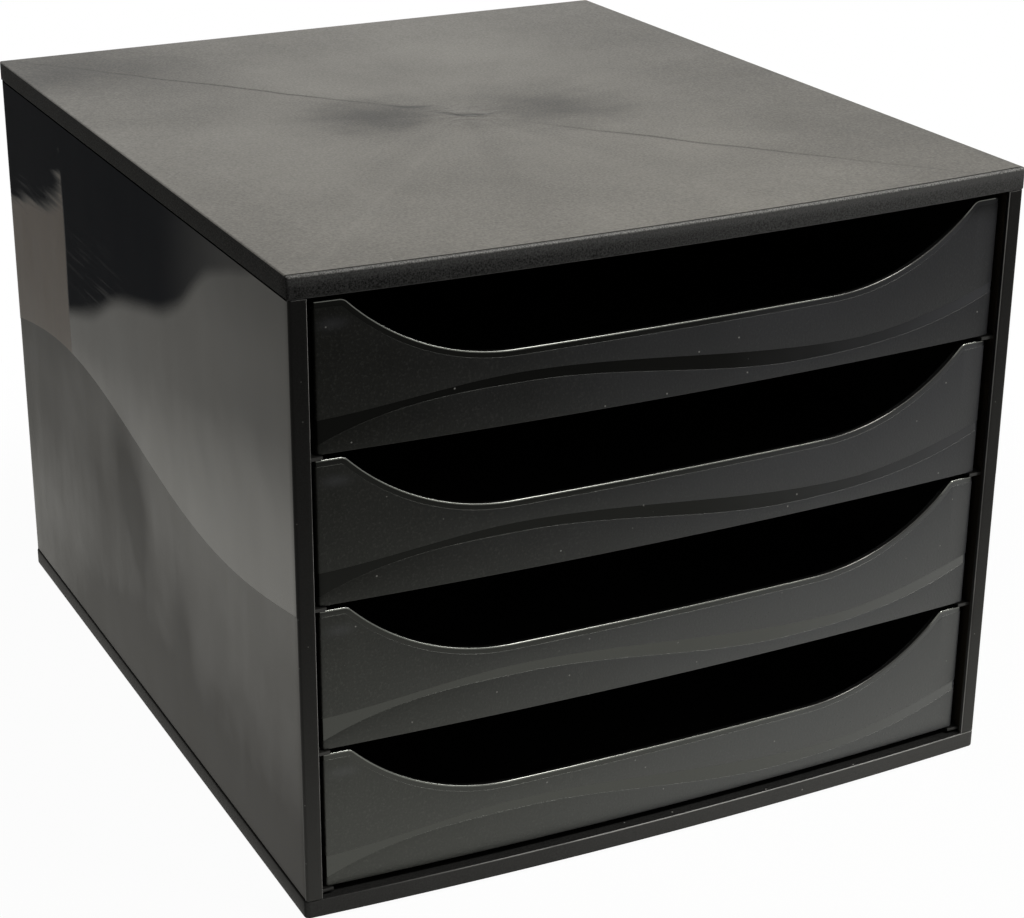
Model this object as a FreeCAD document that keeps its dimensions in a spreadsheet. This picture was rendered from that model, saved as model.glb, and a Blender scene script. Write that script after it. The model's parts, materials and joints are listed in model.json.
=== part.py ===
import FreeCAD, Part
import math
import os
import Sketcher

# A letter tray stack: a snap-together case of base, two sides, back and lid, with
# four open drawers on runner rails. +Z is up and the drawers open towards -Y. The
# origin lies on the resting plane, below the middle of the case.

DRAWER_COUNT = 4
SIDE_TAB_COUNT = 3
BACK_TAB_COUNT = 2
LENGTHWISE_RIB_COUNT = 5
CROSS_RIB_COUNT = 4

# Driving dimensions in millimetres.
DIMENSIONS = [
    ("case_width", 284.0),
    ("case_depth", 333.0),
    ("front_bow", 5.0),
    # lid and base mouldings
    ("lid_height", 8.0),
    ("base_height", 7.0),
    ("plate_wall", 2.5),
    ("skirt_wall", 1.6),
    ("corner_radius", 1.8),
    ("lid_edge_radius", 1.3),
    ("base_edge_radius", 0.8),
    ("rib_wall", 1.6),
    ("rib_depth", 2.4),
    ("rib_margin", 9.0),
    # side walls
    ("side_inset", 0.3),
    ("side_wall", 3.2),
    ("band_width", 6.5),
    ("band_depth", 9.0),
    ("return_depth", 2.4),
    ("side_edge_radius", 1.2),
    ("tongue_height", 4.5),
    ("tongue_inset", 20.0),
    ("tab_length", 30.0),
    ("tab_wall", 1.3),
    ("tab_depth", 5.5),
    ("tab_inset", 40.0),
    ("fit_gap", 0.15),
    # back panel
    ("back_wall", 2.2),
    # runner rails
    ("rail_wall", 1.2),
    ("rail_reach", 8.0),
    ("rail_lift", 1.1),
    ("rail_setback", 2.0),
    ("rail_end_gap", 0.5),
    ("slide_gap", 0.2),
    ("rail_headroom", 0.4),
    ("top_gap", 2.5),
    # drawers
    ("front_recess", 3.5),
    ("front_height", 52.4),
    ("front_wall", 2.2),
    ("side_play", 2.3),
    ("tray_drop", 1.8),
    ("tray_wall", 1.8),
    ("floor_wall", 1.8),
    ("drawer_edge_radius", 1.4),
    ("back_gap", 0.4),
    ("top_drawer_shift", 0.8),
    # finger cut-out of each drawer front
    ("cutout_depth", 25.8),
    ("cutout_flat", 124.0),
    ("cutout_radius", 84.0),
    ("cutout_round", 4.0),
    # stops that keep a drawer from leaving the case
    ("drawer_travel", 235.0),
    ("lug_gap", 1.3),
    ("lug_length", 6.0),
    ("lug_height", 12.0),
    ("lug_lift", 20.0),
    # non-slip feet
    ("foot_radius", 6.0),
    ("foot_thickness", 2.2),
    ("foot_reveal", 1.0),
    ("foot_chamfer", 0.4),
    ("foot_inset", 20.0),
    ("boss_wall", 1.8),
]


class Size:
    """A length together with the sheet expression that gives it."""

    def __init__(self, text, number):
        self.text = text
        self.number = number

    def __add__(self, other):
        other = toSize(other)
        return Size("(%s + %s)" % (self.text, other.text), self.number + other.number)

    def __sub__(self, other):
        other = toSize(other)
        return Size("(%s - %s)" % (self.text, other.text), self.number - other.number)

    def __mul__(self, other):
        other = toSize(other)
        return Size("(%s * %s)" % (self.text, other.text), self.number * other.number)

    def __truediv__(self, other):
        other = toSize(other)
        return Size("(%s / %s)" % (self.text, other.text), self.number / other.number)

    def __neg__(self):
        return Size("(0 - %s)" % self.text, -self.number)


def toSize(value):
    if isinstance(value, Size):
        return value
    return Size(repr(value), value)


def makeSheet(document):
    sheet = document.addObject("Spreadsheet::Sheet", "dims")
    for row, (alias, number) in enumerate(DIMENSIONS, start=1):
        cell = "B%d" % row
        sheet.set("A%d" % row, alias)
        sheet.set(cell, str(number))
        sheet.setAlias(cell, alias)
    document.recompute()
    return {alias: Size("dims." + alias, number) for alias, number in DIMENSIONS}


# ---------------------------------------------------------------- sketch helpers

def makeBody(document, label, height=None):
    body = document.addObject("PartDesign::Body", label)
    body.Label = label
    if height is not None:
        body.setExpression("Placement.Base.z", height.text)
    return body


def makeSketch(body, role, name, offset=None):
    sketch = body.newObject("Sketcher::SketchObject", name)
    plane = next(item for item in body.Origin.OriginFeatures if item.Role == role)
    sketch.AttachmentSupport = [(plane, "")]
    sketch.MapMode = "FlatFace"
    if offset is not None:
        sketch.setExpression("AttachmentOffset.Base.z", offset.text)
    return sketch


def bind(sketch, kind, arguments, size):
    index = sketch.addConstraint(Sketcher.Constraint(kind, *arguments, size.number))
    sketch.setExpression("Constraints[%d]" % index, size.text)


def pinX(sketch, geometry, position, size):
    bind(sketch, "DistanceX", (-1, 1, geometry, position), size)


def pinY(sketch, geometry, position, size):
    bind(sketch, "DistanceY", (-1, 1, geometry, position), size)


def closeLoop(sketch, first, count):
    """Joins the end of each edge to the start of the next one."""
    for step in range(count):
        following = first + (step + 1) % count
        sketch.addConstraint(Sketcher.Constraint("Coincident", first + step, 2, following, 1))


def addOutline(sketch, corners):
    """A closed outline of straight edges with every corner pinned."""
    first = sketch.GeometryCount
    count = len(corners)
    for step, (x, y) in enumerate(corners):
        nextX, nextY = corners[(step + 1) % count]
        start = FreeCAD.Vector(x.number, y.number, 0)
        end = FreeCAD.Vector(nextX.number, nextY.number, 0)
        sketch.addGeometry(Part.LineSegment(start, end))
    closeLoop(sketch, first, count)
    for step, (x, y) in enumerate(corners):
        pinX(sketch, first + step, 1, x)
        pinY(sketch, first + step, 1, y)


def addRectangle(sketch, left, right, low, high):
    addOutline(sketch, [(left, low), (right, low), (right, high), (left, high)])


class Bow:
    """The plan arc that the fronts of lid, base, sides and drawers follow."""

    def __init__(self, dims, setback=None):
        half = dims["case_width"] / 2
        sagitta = dims["front_bow"]
        radius = (half * half + sagitta * sagitta) / (sagitta * 2)
        self.centre = radius - dims["case_depth"] / 2
        self.radius = radius if setback is None else radius - setback

    def frontAt(self, x):
        return self.centre.number - math.sqrt(self.radius.number ** 2 - x ** 2)

    def arc(self, left, right):
        centre = FreeCAD.Vector(0, self.centre.number, 0)
        circle = Part.Circle(centre, FreeCAD.Vector(0, 0, 1), self.radius.number)
        startAngle = math.atan2(self.frontAt(left) - self.centre.number, left)
        endAngle = math.atan2(self.frontAt(right) - self.centre.number, right)
        return Part.ArcOfCircle(circle, startAngle, endAngle)

    def fix(self, sketch, geometry):
        sketch.addConstraint(Sketcher.Constraint("PointOnObject", geometry, 3, -2))
        pinY(sketch, geometry, 3, self.centre)
        bind(sketch, "Radius", (geometry,), self.radius)


def addBowedOutline(sketch, bow, left, right, others):
    """A closed outline: the bowed front from left to right, then straight edges."""
    first = sketch.GeometryCount
    sketch.addGeometry(bow.arc(left.number, right.number))
    points = [(right.number, bow.frontAt(right.number))]
    points += [(x.number, y.number) for x, y in others]
    points += [(left.number, bow.frontAt(left.number))]
    for start, end in zip(points, points[1:]):
        sketch.addGeometry(Part.LineSegment(FreeCAD.Vector(*start, 0), FreeCAD.Vector(*end, 0)))
    closeLoop(sketch, first, len(points))
    bow.fix(sketch, first)
    pinX(sketch, first, 1, left)
    pinX(sketch, first, 2, right)
    for step, (x, y) in enumerate(others):
        pinX(sketch, first + 1 + step, 2, x)
        pinY(sketch, first + 1 + step, 2, y)


# --------------------------------------------------------------- feature helpers

def addPad(body, sketch, length, reverse=False):
    pad = body.newObject("PartDesign::Pad", sketch.Name + "_pad")
    pad.Profile = sketch
    pad.setExpression("Length", length.text)
    pad.Reversed = reverse
    sketch.Visibility = False
    return pad


def addPocket(body, sketch, length, reverse=False):
    pocket = body.newObject("PartDesign::Pocket", sketch.Name + "_pocket")
    pocket.Profile = sketch
    pocket.setExpression("Length", length.text)
    pocket.Reversed = reverse
    sketch.Visibility = False
    return pocket


def addRow(body, feature, role, length, count):
    """Repeats a feature along one of the body's axes over the whole length."""
    pattern = body.newObject("PartDesign::LinearPattern", feature.Name + "_row")
    axis = next(item for item in body.Origin.OriginFeatures if item.Role == role)
    pattern.Originals = [feature]
    pattern.Direction = (axis, [""])
    pattern.Occurrences = count
    pattern.setExpression("Length", length.text)
    body.Tip = pattern
    return pattern


def edgesWhere(shape, test):
    names = []
    for number, edge in enumerate(shape.Edges, start=1):
        if test(edge):
            names.append("Edge%d" % number)
    return names


def addFillet(body, radius, test):
    """Rounds the edges of the body's last feature that pass the test."""
    body.Document.recompute()
    base = body.Tip
    names = edgesWhere(base.Shape, test)
    if not names:
        raise RuntimeError("no edge to round on " + body.Label)
    fillet = body.newObject("PartDesign::Fillet", body.Name + "_round")
    fillet.Base = (base, names)
    fillet.setExpression("Radius", radius.text)
    return fillet


def isVertical(edge):
    box = edge.BoundBox
    return box.XLength < 0.01 and box.YLength < 0.01


def liesAtHeight(edge, height):
    box = edge.BoundBox
    return abs(box.ZMin - height) < 0.01 and abs(box.ZMax - height) < 0.01


def isOuterEdge(edge, halfWidth, halfDepth, bow, margin):
    """True on the rim of a plate: at a side, at the back or on the bowed front."""
    box = edge.BoundBox
    middle = edge.CenterOfMass
    atSide = abs(middle.x) > halfWidth - margin
    atBack = middle.y > halfDepth - margin
    atFront = box.YMin < bow.frontAt(min(abs(middle.x), halfWidth)) + margin
    return atSide or atBack or atFront


# -------------------------------------------------------------------- placements

class Layout:
    """Sizes and places that several pieces share."""

    def __init__(self, dims):
        self.dims = dims
        self.halfWidth = dims["case_width"] / 2
        self.back = dims["case_depth"] / 2
        self.cornerFront = dims["front_bow"] - dims["case_depth"] / 2
        self.pitch = (dims["front_height"] + dims["rail_wall"] + dims["slide_gap"]
                      + dims["rail_headroom"])
        self.rowSpan = self.pitch * (DRAWER_COUNT - 1)
        self.drawerLift = dims["rail_lift"] + dims["rail_wall"] + dims["slide_gap"]
        self.sideHeight = (self.drawerLift + self.rowSpan + dims["front_height"]
                           + dims["top_gap"])
        self.baseTop = dims["foot_reveal"] + dims["base_height"]
        self.lidBottom = self.baseTop + self.sideHeight
        # side walls
        self.sideOuter = self.halfWidth - dims["side_inset"]
        self.sideInner = self.sideOuter - dims["side_wall"]
        self.bandInner = self.halfWidth - dims["band_width"]
        self.bandBack = self.cornerFront + dims["band_depth"]
        self.sideBack = self.back - dims["side_inset"]
        self.returnFront = self.sideBack - dims["return_depth"]
        self.tongueOuter = self.halfWidth - dims["skirt_wall"] - dims["fit_gap"]
        self.tabOuter = self.sideInner + dims["tab_wall"]
        self.tabStart = self.bandBack + dims["tab_inset"]
        self.tabRow = (self.returnFront - dims["tab_inset"] - dims["tab_length"]
                       - self.tabStart)
        # back panel
        self.panelBack = self.returnFront - dims["fit_gap"]
        self.panelFront = self.panelBack - dims["back_wall"]
        self.panelHalf = self.sideInner - dims["fit_gap"]
        self.panelTabStart = dims["tab_inset"] - self.panelHalf
        self.panelTabRow = (self.panelHalf - dims["tab_inset"] - dims["tab_length"]
                            - self.panelTabStart)
        # drawers
        self.drawerHalf = self.bandInner - dims["side_play"]
        self.trayHeight = dims["front_height"] - dims["tray_drop"]
        self.drawerBack = self.panelFront - dims["back_gap"]
        self.lugOuter = self.sideInner - dims["lug_gap"]
        self.lugFront = self.bandBack + dims["drawer_travel"]
        # feet
        self.footX = self.halfWidth - dims["foot_inset"]
        self.footFront = self.cornerFront + dims["foot_inset"]
        self.footBack = self.back - dims["foot_inset"]
        self.socketDepth = dims["foot_thickness"] - dims["foot_reveal"]


# ------------------------------------------------------------ lid and base plate

def addPlate(body, layout, height):
    """A bowed plate with a skirt around its hollow underside."""
    dims = layout.dims
    outline = makeSketch(body, "XY_Plane", body.Name + "_outline")
    addBowedOutline(outline, Bow(dims), -layout.halfWidth, layout.halfWidth,
                    [(layout.halfWidth, layout.back), (-layout.halfWidth, layout.back)])
    addPad(body, outline, height)
    inner = layout.halfWidth - dims["skirt_wall"]
    innerBack = layout.back - dims["skirt_wall"]
    hollow = makeSketch(body, "XY_Plane", body.Name + "_hollow")
    addBowedOutline(hollow, Bow(dims, dims["skirt_wall"]), -inner, inner,
                    [(inner, innerBack), (-inner, innerBack)])
    addPocket(body, hollow, height - dims["plate_wall"], reverse=True)


def addRibs(body, layout, height):
    """Lengthwise and cross ribs under the plate, clear of the skirt's tongues."""
    dims = layout.dims
    ribBottom = height - dims["plate_wall"] - dims["rib_depth"]
    ribX = layout.panelHalf - dims["rib_margin"]
    ribFront = layout.bandBack + dims["rib_margin"]
    ribBack = layout.panelFront - dims["rib_margin"]
    lengthwise = makeSketch(body, "XY_Plane", body.Name + "_long_rib", ribBottom)
    addRectangle(lengthwise, -ribX, dims["rib_wall"] - ribX, ribFront, ribBack)
    addRow(body, addPad(body, lengthwise, dims["rib_depth"]), "X_Axis",
           ribX * 2 - dims["rib_wall"], LENGTHWISE_RIB_COUNT)
    crosswise = makeSketch(body, "XY_Plane", body.Name + "_cross_rib", ribBottom)
    addRectangle(crosswise, -ribX, ribX, ribFront, ribFront + dims["rib_wall"])
    addRow(body, addPad(body, crosswise, dims["rib_depth"]), "Y_Axis",
           ribBack - ribFront - dims["rib_wall"], CROSS_RIB_COUNT)


def roundPlate(body, layout, edgeHeight, edgeRadius):
    """Rounds the upright corners, then the rim at the given height."""
    dims = layout.dims
    corner = layout.halfWidth.number - 0.01

    def isCorner(edge):
        return isVertical(edge) and abs(edge.CenterOfMass.x) > corner

    addFillet(body, dims["corner_radius"], isCorner)
    bow = Bow(dims)
    margin = dims["skirt_wall"].number / 2

    def isRim(edge):
        return (liesAtHeight(edge, edgeHeight.number)
                and isOuterEdge(edge, layout.halfWidth.number, layout.back.number, bow, margin))

    addFillet(body, edgeRadius, isRim)


def makeLid(document, layout):
    dims = layout.dims
    body = makeBody(document, "top_panel", layout.lidBottom)
    addPlate(body, layout, dims["lid_height"])
    addRibs(body, layout, dims["lid_height"])
    roundPlate(body, layout, dims["lid_height"], dims["lid_edge_radius"])
    return body


def addFootSockets(body, layout):
    """Four bosses that reach the skirt's lower edge, each with a socket for a pad."""
    dims = layout.dims
    boss = makeSketch(body, "XY_Plane", "foot_boss")
    socket = makeSketch(body, "XY_Plane", "foot_socket")
    socketRadius = dims["foot_radius"] + dims["fit_gap"]
    for x in (-layout.footX, layout.footX):
        for y in (layout.footFront, layout.footBack):
            addCircle(boss, x, y, socketRadius + dims["boss_wall"])
            addCircle(socket, x, y, socketRadius)
    addPad(body, boss, dims["base_height"] - dims["plate_wall"])
    addPocket(body, socket, layout.socketDepth, reverse=True)


def addCircle(sketch, x, y, radius):
    centre = FreeCAD.Vector(x.number, y.number, 0)
    geometry = sketch.addGeometry(Part.Circle(centre, FreeCAD.Vector(0, 0, 1), radius.number))
    pinX(sketch, geometry, 3, x)
    pinY(sketch, geometry, 3, y)
    bind(sketch, "Radius", (geometry,), radius)


def addTabSlots(body, layout):
    """Slots through the plate for the tabs of the two sides and the back."""
    dims = layout.dims
    gap = dims["fit_gap"]
    slots = makeSketch(body, "XY_Plane", "side_slots", dims["base_height"])
    low = layout.tabStart - gap
    high = layout.tabStart + dims["tab_length"] + gap
    addRectangle(slots, -layout.tabOuter - gap, gap - layout.sideInner, low, high)
    addRectangle(slots, layout.sideInner - gap, layout.tabOuter + gap, low, high)
    addRow(body, addPocket(body, slots, dims["plate_wall"]), "Y_Axis",
           layout.tabRow, SIDE_TAB_COUNT)
    backSlots = makeSketch(body, "XY_Plane", "back_slots", dims["base_height"])
    addRectangle(backSlots, layout.panelTabStart - gap,
                 layout.panelTabStart + dims["tab_length"] + gap,
                 layout.panelBack - dims["tab_wall"] - gap, layout.panelBack + gap)
    addRow(body, addPocket(body, backSlots, dims["plate_wall"]), "X_Axis",
           layout.panelTabRow, BACK_TAB_COUNT)


def makeBase(document, layout):
    dims = layout.dims
    body = makeBody(document, "bottom_panel", dims["foot_reveal"])
    addPlate(body, layout, dims["base_height"])
    addRibs(body, layout, dims["base_height"])
    addFootSockets(body, layout)
    addTabSlots(body, layout)
    roundPlate(body, layout, toSize(0.0), dims["base_edge_radius"])
    return body


# ------------------------------------------------------------------ side and back

def makeLeftSide(document, layout):
    """The wall with its front band, rear return, rails, tongue and tabs."""
    dims = layout.dims
    body = makeBody(document, "left_side_panel", layout.baseTop)
    plan = makeSketch(body, "XY_Plane", "side_plan")
    addBowedOutline(plan, Bow(dims), -layout.sideOuter, -layout.bandInner, [
        (-layout.bandInner, layout.bandBack),
        (-layout.sideInner, layout.bandBack),
        (-layout.sideInner, layout.returnFront),
        (-layout.bandInner, layout.returnFront),
        (-layout.bandInner, layout.sideBack),
        (-layout.sideOuter, layout.sideBack),
    ])
    addPad(body, plan, layout.sideHeight)
    outer = layout.sideOuter.number - 0.01

    def isOuterCorner(edge):
        return isVertical(edge) and edge.CenterOfMass.x < -outer

    addFillet(body, dims["side_edge_radius"], isOuterCorner)
    tongue = makeSketch(body, "XY_Plane", "side_tongue", layout.sideHeight)
    addRectangle(tongue, -layout.tongueOuter, -layout.sideInner,
                 layout.bandBack + dims["tongue_inset"],
                 layout.returnFront - dims["tongue_inset"])
    addPad(body, tongue, dims["tongue_height"])
    tab = makeSketch(body, "XY_Plane", "side_tab")
    addRectangle(tab, -layout.tabOuter, -layout.sideInner, layout.tabStart,
                 layout.tabStart + dims["tab_length"])
    addRow(body, addPad(body, tab, dims["tab_depth"], reverse=True), "Y_Axis",
           layout.tabRow, SIDE_TAB_COUNT)
    rail = makeSketch(body, "XY_Plane", "runner_rail", dims["rail_lift"])
    addRectangle(rail, -layout.sideInner, dims["rail_reach"] - layout.sideInner,
                 layout.cornerFront + dims["rail_setback"],
                 layout.panelFront - dims["rail_end_gap"])
    addRow(body, addPad(body, rail, dims["rail_wall"]), "Z_Axis", layout.rowSpan,
           DRAWER_COUNT)
    return body


def makeRightSide(document, leftSide):
    """The right side is the left one mirrored across the middle of the case."""
    mirror = document.addObject("Part::Mirroring", "right_side_panel")
    mirror.Label = "right_side_panel"
    mirror.Source = leftSide
    mirror.Normal = FreeCAD.Vector(1, 0, 0)
    mirror.Base = FreeCAD.Vector(0, 0, 0)
    return mirror


def makeBack(document, layout):
    dims = layout.dims
    body = makeBody(document, "back_panel", layout.baseTop)
    plan = makeSketch(body, "XY_Plane", "back_plan")
    addRectangle(plan, -layout.panelHalf, layout.panelHalf, layout.panelFront,
                 layout.panelBack)
    addPad(body, plan, layout.sideHeight)
    tongue = makeSketch(body, "XY_Plane", "back_tongue", layout.sideHeight)
    tongueHalf = layout.panelHalf - dims["tongue_inset"]
    addRectangle(tongue, -tongueHalf, tongueHalf, layout.panelFront, layout.panelBack)
    addPad(body, tongue, dims["tongue_height"])
    tab = makeSketch(body, "XY_Plane", "back_tab")
    addRectangle(tab, layout.panelTabStart, layout.panelTabStart + dims["tab_length"],
                 layout.panelBack - dims["tab_wall"], layout.panelBack)
    addRow(body, addPad(body, tab, dims["tab_depth"], reverse=True), "X_Axis",
           layout.panelTabRow, BACK_TAB_COUNT)
    return body


# ------------------------------------------------------------------------ drawers

def addCutout(body, layout):
    """The finger cut-out: a level floor that sweeps up to the front's top edge."""
    dims = layout.dims
    face = makeSketch(body, "XZ_Plane", body.Name + "_cutout", layout.back)
    halfFlat = dims["cutout_flat"] / 2
    top = dims["front_height"]
    floor = top - dims["cutout_depth"]
    radius = dims["cutout_radius"]
    rounding = dims["cutout_round"]
    rise = top.number - rounding.number - floor.number - radius.number
    reach = math.sqrt((radius.number + rounding.number) ** 2 - rise ** 2)
    sweepAngle = math.atan2(rise, reach)
    roundX = halfFlat.number + reach
    topLine = top.number + rounding.number
    axis = FreeCAD.Vector(0, 0, 1)

    flat = face.addGeometry(Part.LineSegment(
        FreeCAD.Vector(-halfFlat.number, floor.number, 0),
        FreeCAD.Vector(halfFlat.number, floor.number, 0)))
    face.addConstraint(Sketcher.Constraint("Horizontal", flat))
    pinX(face, flat, 1, -halfFlat)
    pinX(face, flat, 2, halfFlat)
    pinY(face, flat, 1, floor)
    uprights = []
    for sign in (1, -1):
        sweepCentre = FreeCAD.Vector(sign * halfFlat.number, floor.number + radius.number, 0)
        roundCentre = FreeCAD.Vector(sign * roundX, top.number - rounding.number, 0)
        sweepCircle = Part.Circle(sweepCentre, axis, radius.number)
        roundCircle = Part.Circle(roundCentre, axis, rounding.number)
        if sign > 0:
            sweep = face.addGeometry(Part.ArcOfCircle(sweepCircle, -math.pi / 2, sweepAngle))
            lip = face.addGeometry(Part.ArcOfCircle(roundCircle, math.pi / 2,
                                                    math.pi + sweepAngle))
            sweepEnds, lipEnds = (1, 2), (2, 1)
        else:
            sweep = face.addGeometry(Part.ArcOfCircle(sweepCircle, math.pi - sweepAngle,
                                                      1.5 * math.pi))
            lip = face.addGeometry(Part.ArcOfCircle(roundCircle, -sweepAngle, math.pi / 2))
            sweepEnds, lipEnds = (2, 1), (1, 2)
        upright = face.addGeometry(Part.LineSegment(
            FreeCAD.Vector(sign * roundX, top.number, 0),
            FreeCAD.Vector(sign * roundX, topLine, 0)))
        flatEnd = 2 if sign > 0 else 1
        face.addConstraint(Sketcher.Constraint("Tangent", flat, flatEnd, sweep, sweepEnds[0]))
        face.addConstraint(Sketcher.Constraint("Tangent", sweep, sweepEnds[1], lip, lipEnds[0]))
        bind(face, "Radius", (sweep,), radius)
        bind(face, "Radius", (lip,), rounding)
        face.addConstraint(Sketcher.Constraint("Coincident", lip, lipEnds[1], upright, 1))
        face.addConstraint(Sketcher.Constraint("Vertical", lip, 3, upright, 1))
        face.addConstraint(Sketcher.Constraint("Vertical", upright))
        pinY(face, upright, 1, top)
        uprights.append(upright)
    lid = face.addGeometry(Part.LineSegment(FreeCAD.Vector(roundX, topLine, 0),
                                            FreeCAD.Vector(-roundX, topLine, 0)))
    face.addConstraint(Sketcher.Constraint("Coincident", uprights[0], 2, lid, 1))
    face.addConstraint(Sketcher.Constraint("Coincident", uprights[1], 2, lid, 2))
    face.addConstraint(Sketcher.Constraint("Horizontal", lid))
    pinY(face, lid, 1, top + rounding)
    depth = (dims["front_recess"] + dims["front_bow"] + dims["front_wall"]
             + dims["tray_wall"])
    addPocket(body, face, depth)


def makeDrawer(document, layout, number):
    dims = layout.dims
    level = layout.baseTop + layout.drawerLift + layout.pitch * (DRAWER_COUNT - number)
    body = makeBody(document, "drawer_%d" % number, level)
    if number == 1:
        body.setExpression("Placement.Base.x", dims["top_drawer_shift"].text)
    half = layout.drawerHalf
    frontBow = Bow(dims, dims["front_recess"])
    innerBow = Bow(dims, dims["front_recess"] + dims["front_wall"])
    tray = makeSketch(body, "XY_Plane", body.Name + "_plan")
    addBowedOutline(tray, frontBow, -half, half,
                    [(half, layout.drawerBack), (-half, layout.drawerBack)])
    addPad(body, tray, layout.trayHeight)

    frontBack = layout.cornerFront + dims["front_recess"] + dims["front_wall"]
    front = makeSketch(body, "XY_Plane", body.Name + "_front", layout.trayHeight)
    addBowedOutline(front, frontBow, -half, half, [(half, frontBack), (-half, frontBack)])
    addPad(body, front, dims["tray_drop"])

    hollow = makeSketch(body, "XY_Plane", body.Name + "_hollow", dims["front_height"])
    innerHalf = half - dims["tray_wall"]
    innerBack = layout.drawerBack - dims["tray_wall"]
    addBowedOutline(hollow, innerBow, -innerHalf, innerHalf,
                    [(innerHalf, innerBack), (-innerHalf, innerBack)])
    addPocket(body, hollow, dims["front_height"] - dims["floor_wall"])
    addCutout(body, layout)

    lugs = makeSketch(body, "XY_Plane", body.Name + "_lugs", dims["lug_lift"])
    lugBack = layout.lugFront + dims["lug_length"]
    root = half - dims["tray_wall"] / 2
    addRectangle(lugs, -layout.lugOuter, -root, layout.lugFront, lugBack)
    addRectangle(lugs, root, layout.lugOuter, layout.lugFront, lugBack)
    addPad(body, lugs, dims["lug_height"])

    outer = half.number - 0.01
    frontLimit = frontBack.number

    def isFrontCorner(edge):
        middle = edge.CenterOfMass
        return isVertical(edge) and abs(middle.x) > outer and middle.y < frontLimit

    addFillet(body, dims["drawer_edge_radius"], isFrontCorner)
    return body


# --------------------------------------------------------------------------- feet

def makeFoot(document, layout, label, x, y):
    dims = layout.dims
    body = makeBody(document, label)
    body.setExpression("Placement.Base.x", x.text)
    body.setExpression("Placement.Base.y", y.text)
    disc = makeSketch(body, "XY_Plane", label + "_disc")
    circle = disc.addGeometry(Part.Circle(FreeCAD.Vector(0, 0, 0), FreeCAD.Vector(0, 0, 1),
                                          dims["foot_radius"].number))
    disc.addConstraint(Sketcher.Constraint("Coincident", circle, 3, -1, 1))
    bind(disc, "Radius", (circle,), dims["foot_radius"])
    pad = addPad(body, disc, dims["foot_thickness"])
    document.recompute()
    rim = edgesWhere(pad.Shape, lambda edge: liesAtHeight(edge, 0.0))
    chamfer = body.newObject("PartDesign::Chamfer", label + "_rim")
    chamfer.Base = (pad, rim)
    chamfer.setExpression("Size", dims["foot_chamfer"].text)
    return body


def makeFeet(document, layout):
    places = {
        "foot_front_left": (-layout.footX, layout.footFront),
        "foot_front_right": (layout.footX, layout.footFront),
        "foot_back_left": (-layout.footX, layout.footBack),
        "foot_back_right": (layout.footX, layout.footBack),
    }
    return [makeFoot(document, layout, label, x, y) for label, (x, y) in places.items()]


# ------------------------------------------------------------------------- checks

def checkDocument(document):
    """Stops on a failed object, or on a feature that changes nothing."""
    for item in document.Objects:
        if "Invalid" in item.State or "Error" in item.State:
            raise RuntimeError("%s failed: %s" % (item.Label, item.State))
    for item in document.Objects:
        base = getattr(item, "BaseFeature", None)
        if base is None or item.TypeId == "PartDesign::Body":
            continue
        change = item.Shape.Volume - base.Shape.Volume
        if item.TypeId == "PartDesign::Pocket" and change > -1.0:
            raise RuntimeError(item.Label + " cuts nothing")
        if item.TypeId == "PartDesign::Pad" and change < 1.0:
            raise RuntimeError(item.Label + " adds nothing")


def exportPieces(pieces):
    os.makedirs("parts", exist_ok=True)
    for piece in pieces:
        shape = piece.Shape
        if shape.isNull() or not shape.isValid() or len(shape.Solids) != 1:
            raise RuntimeError(piece.Label + " is not one valid solid")
    for piece in pieces:
        piece.Shape.exportStep("parts/%s.step" % piece.Label)
        box = piece.Shape.BoundBox
        print("%-18s %7.1f x %6.1f x %6.1f mm, z %6.2f to %6.2f, %8.1f cm3" % (
            piece.Label, box.XLength, box.YLength, box.ZLength, box.ZMin, box.ZMax,
            piece.Shape.Volume / 1000))


def main():
    document = FreeCAD.newDocument("letter_tray_stack")
    layout = Layout(makeSheet(document))
    leftSide = makeLeftSide(document, layout)
    pieces = [
        makeLid(document, layout),
        makeBase(document, layout),
        leftSide,
        makeRightSide(document, leftSide),
        makeBack(document, layout),
    ]
    pieces += [makeDrawer(document, layout, number + 1) for number in range(DRAWER_COUNT)]
    pieces += makeFeet(document, layout)
    document.recompute()
    checkDocument(document)
    exportPieces(pieces)


main()
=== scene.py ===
import bmesh
import bpy
import json
import math
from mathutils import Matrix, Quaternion, Vector


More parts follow.
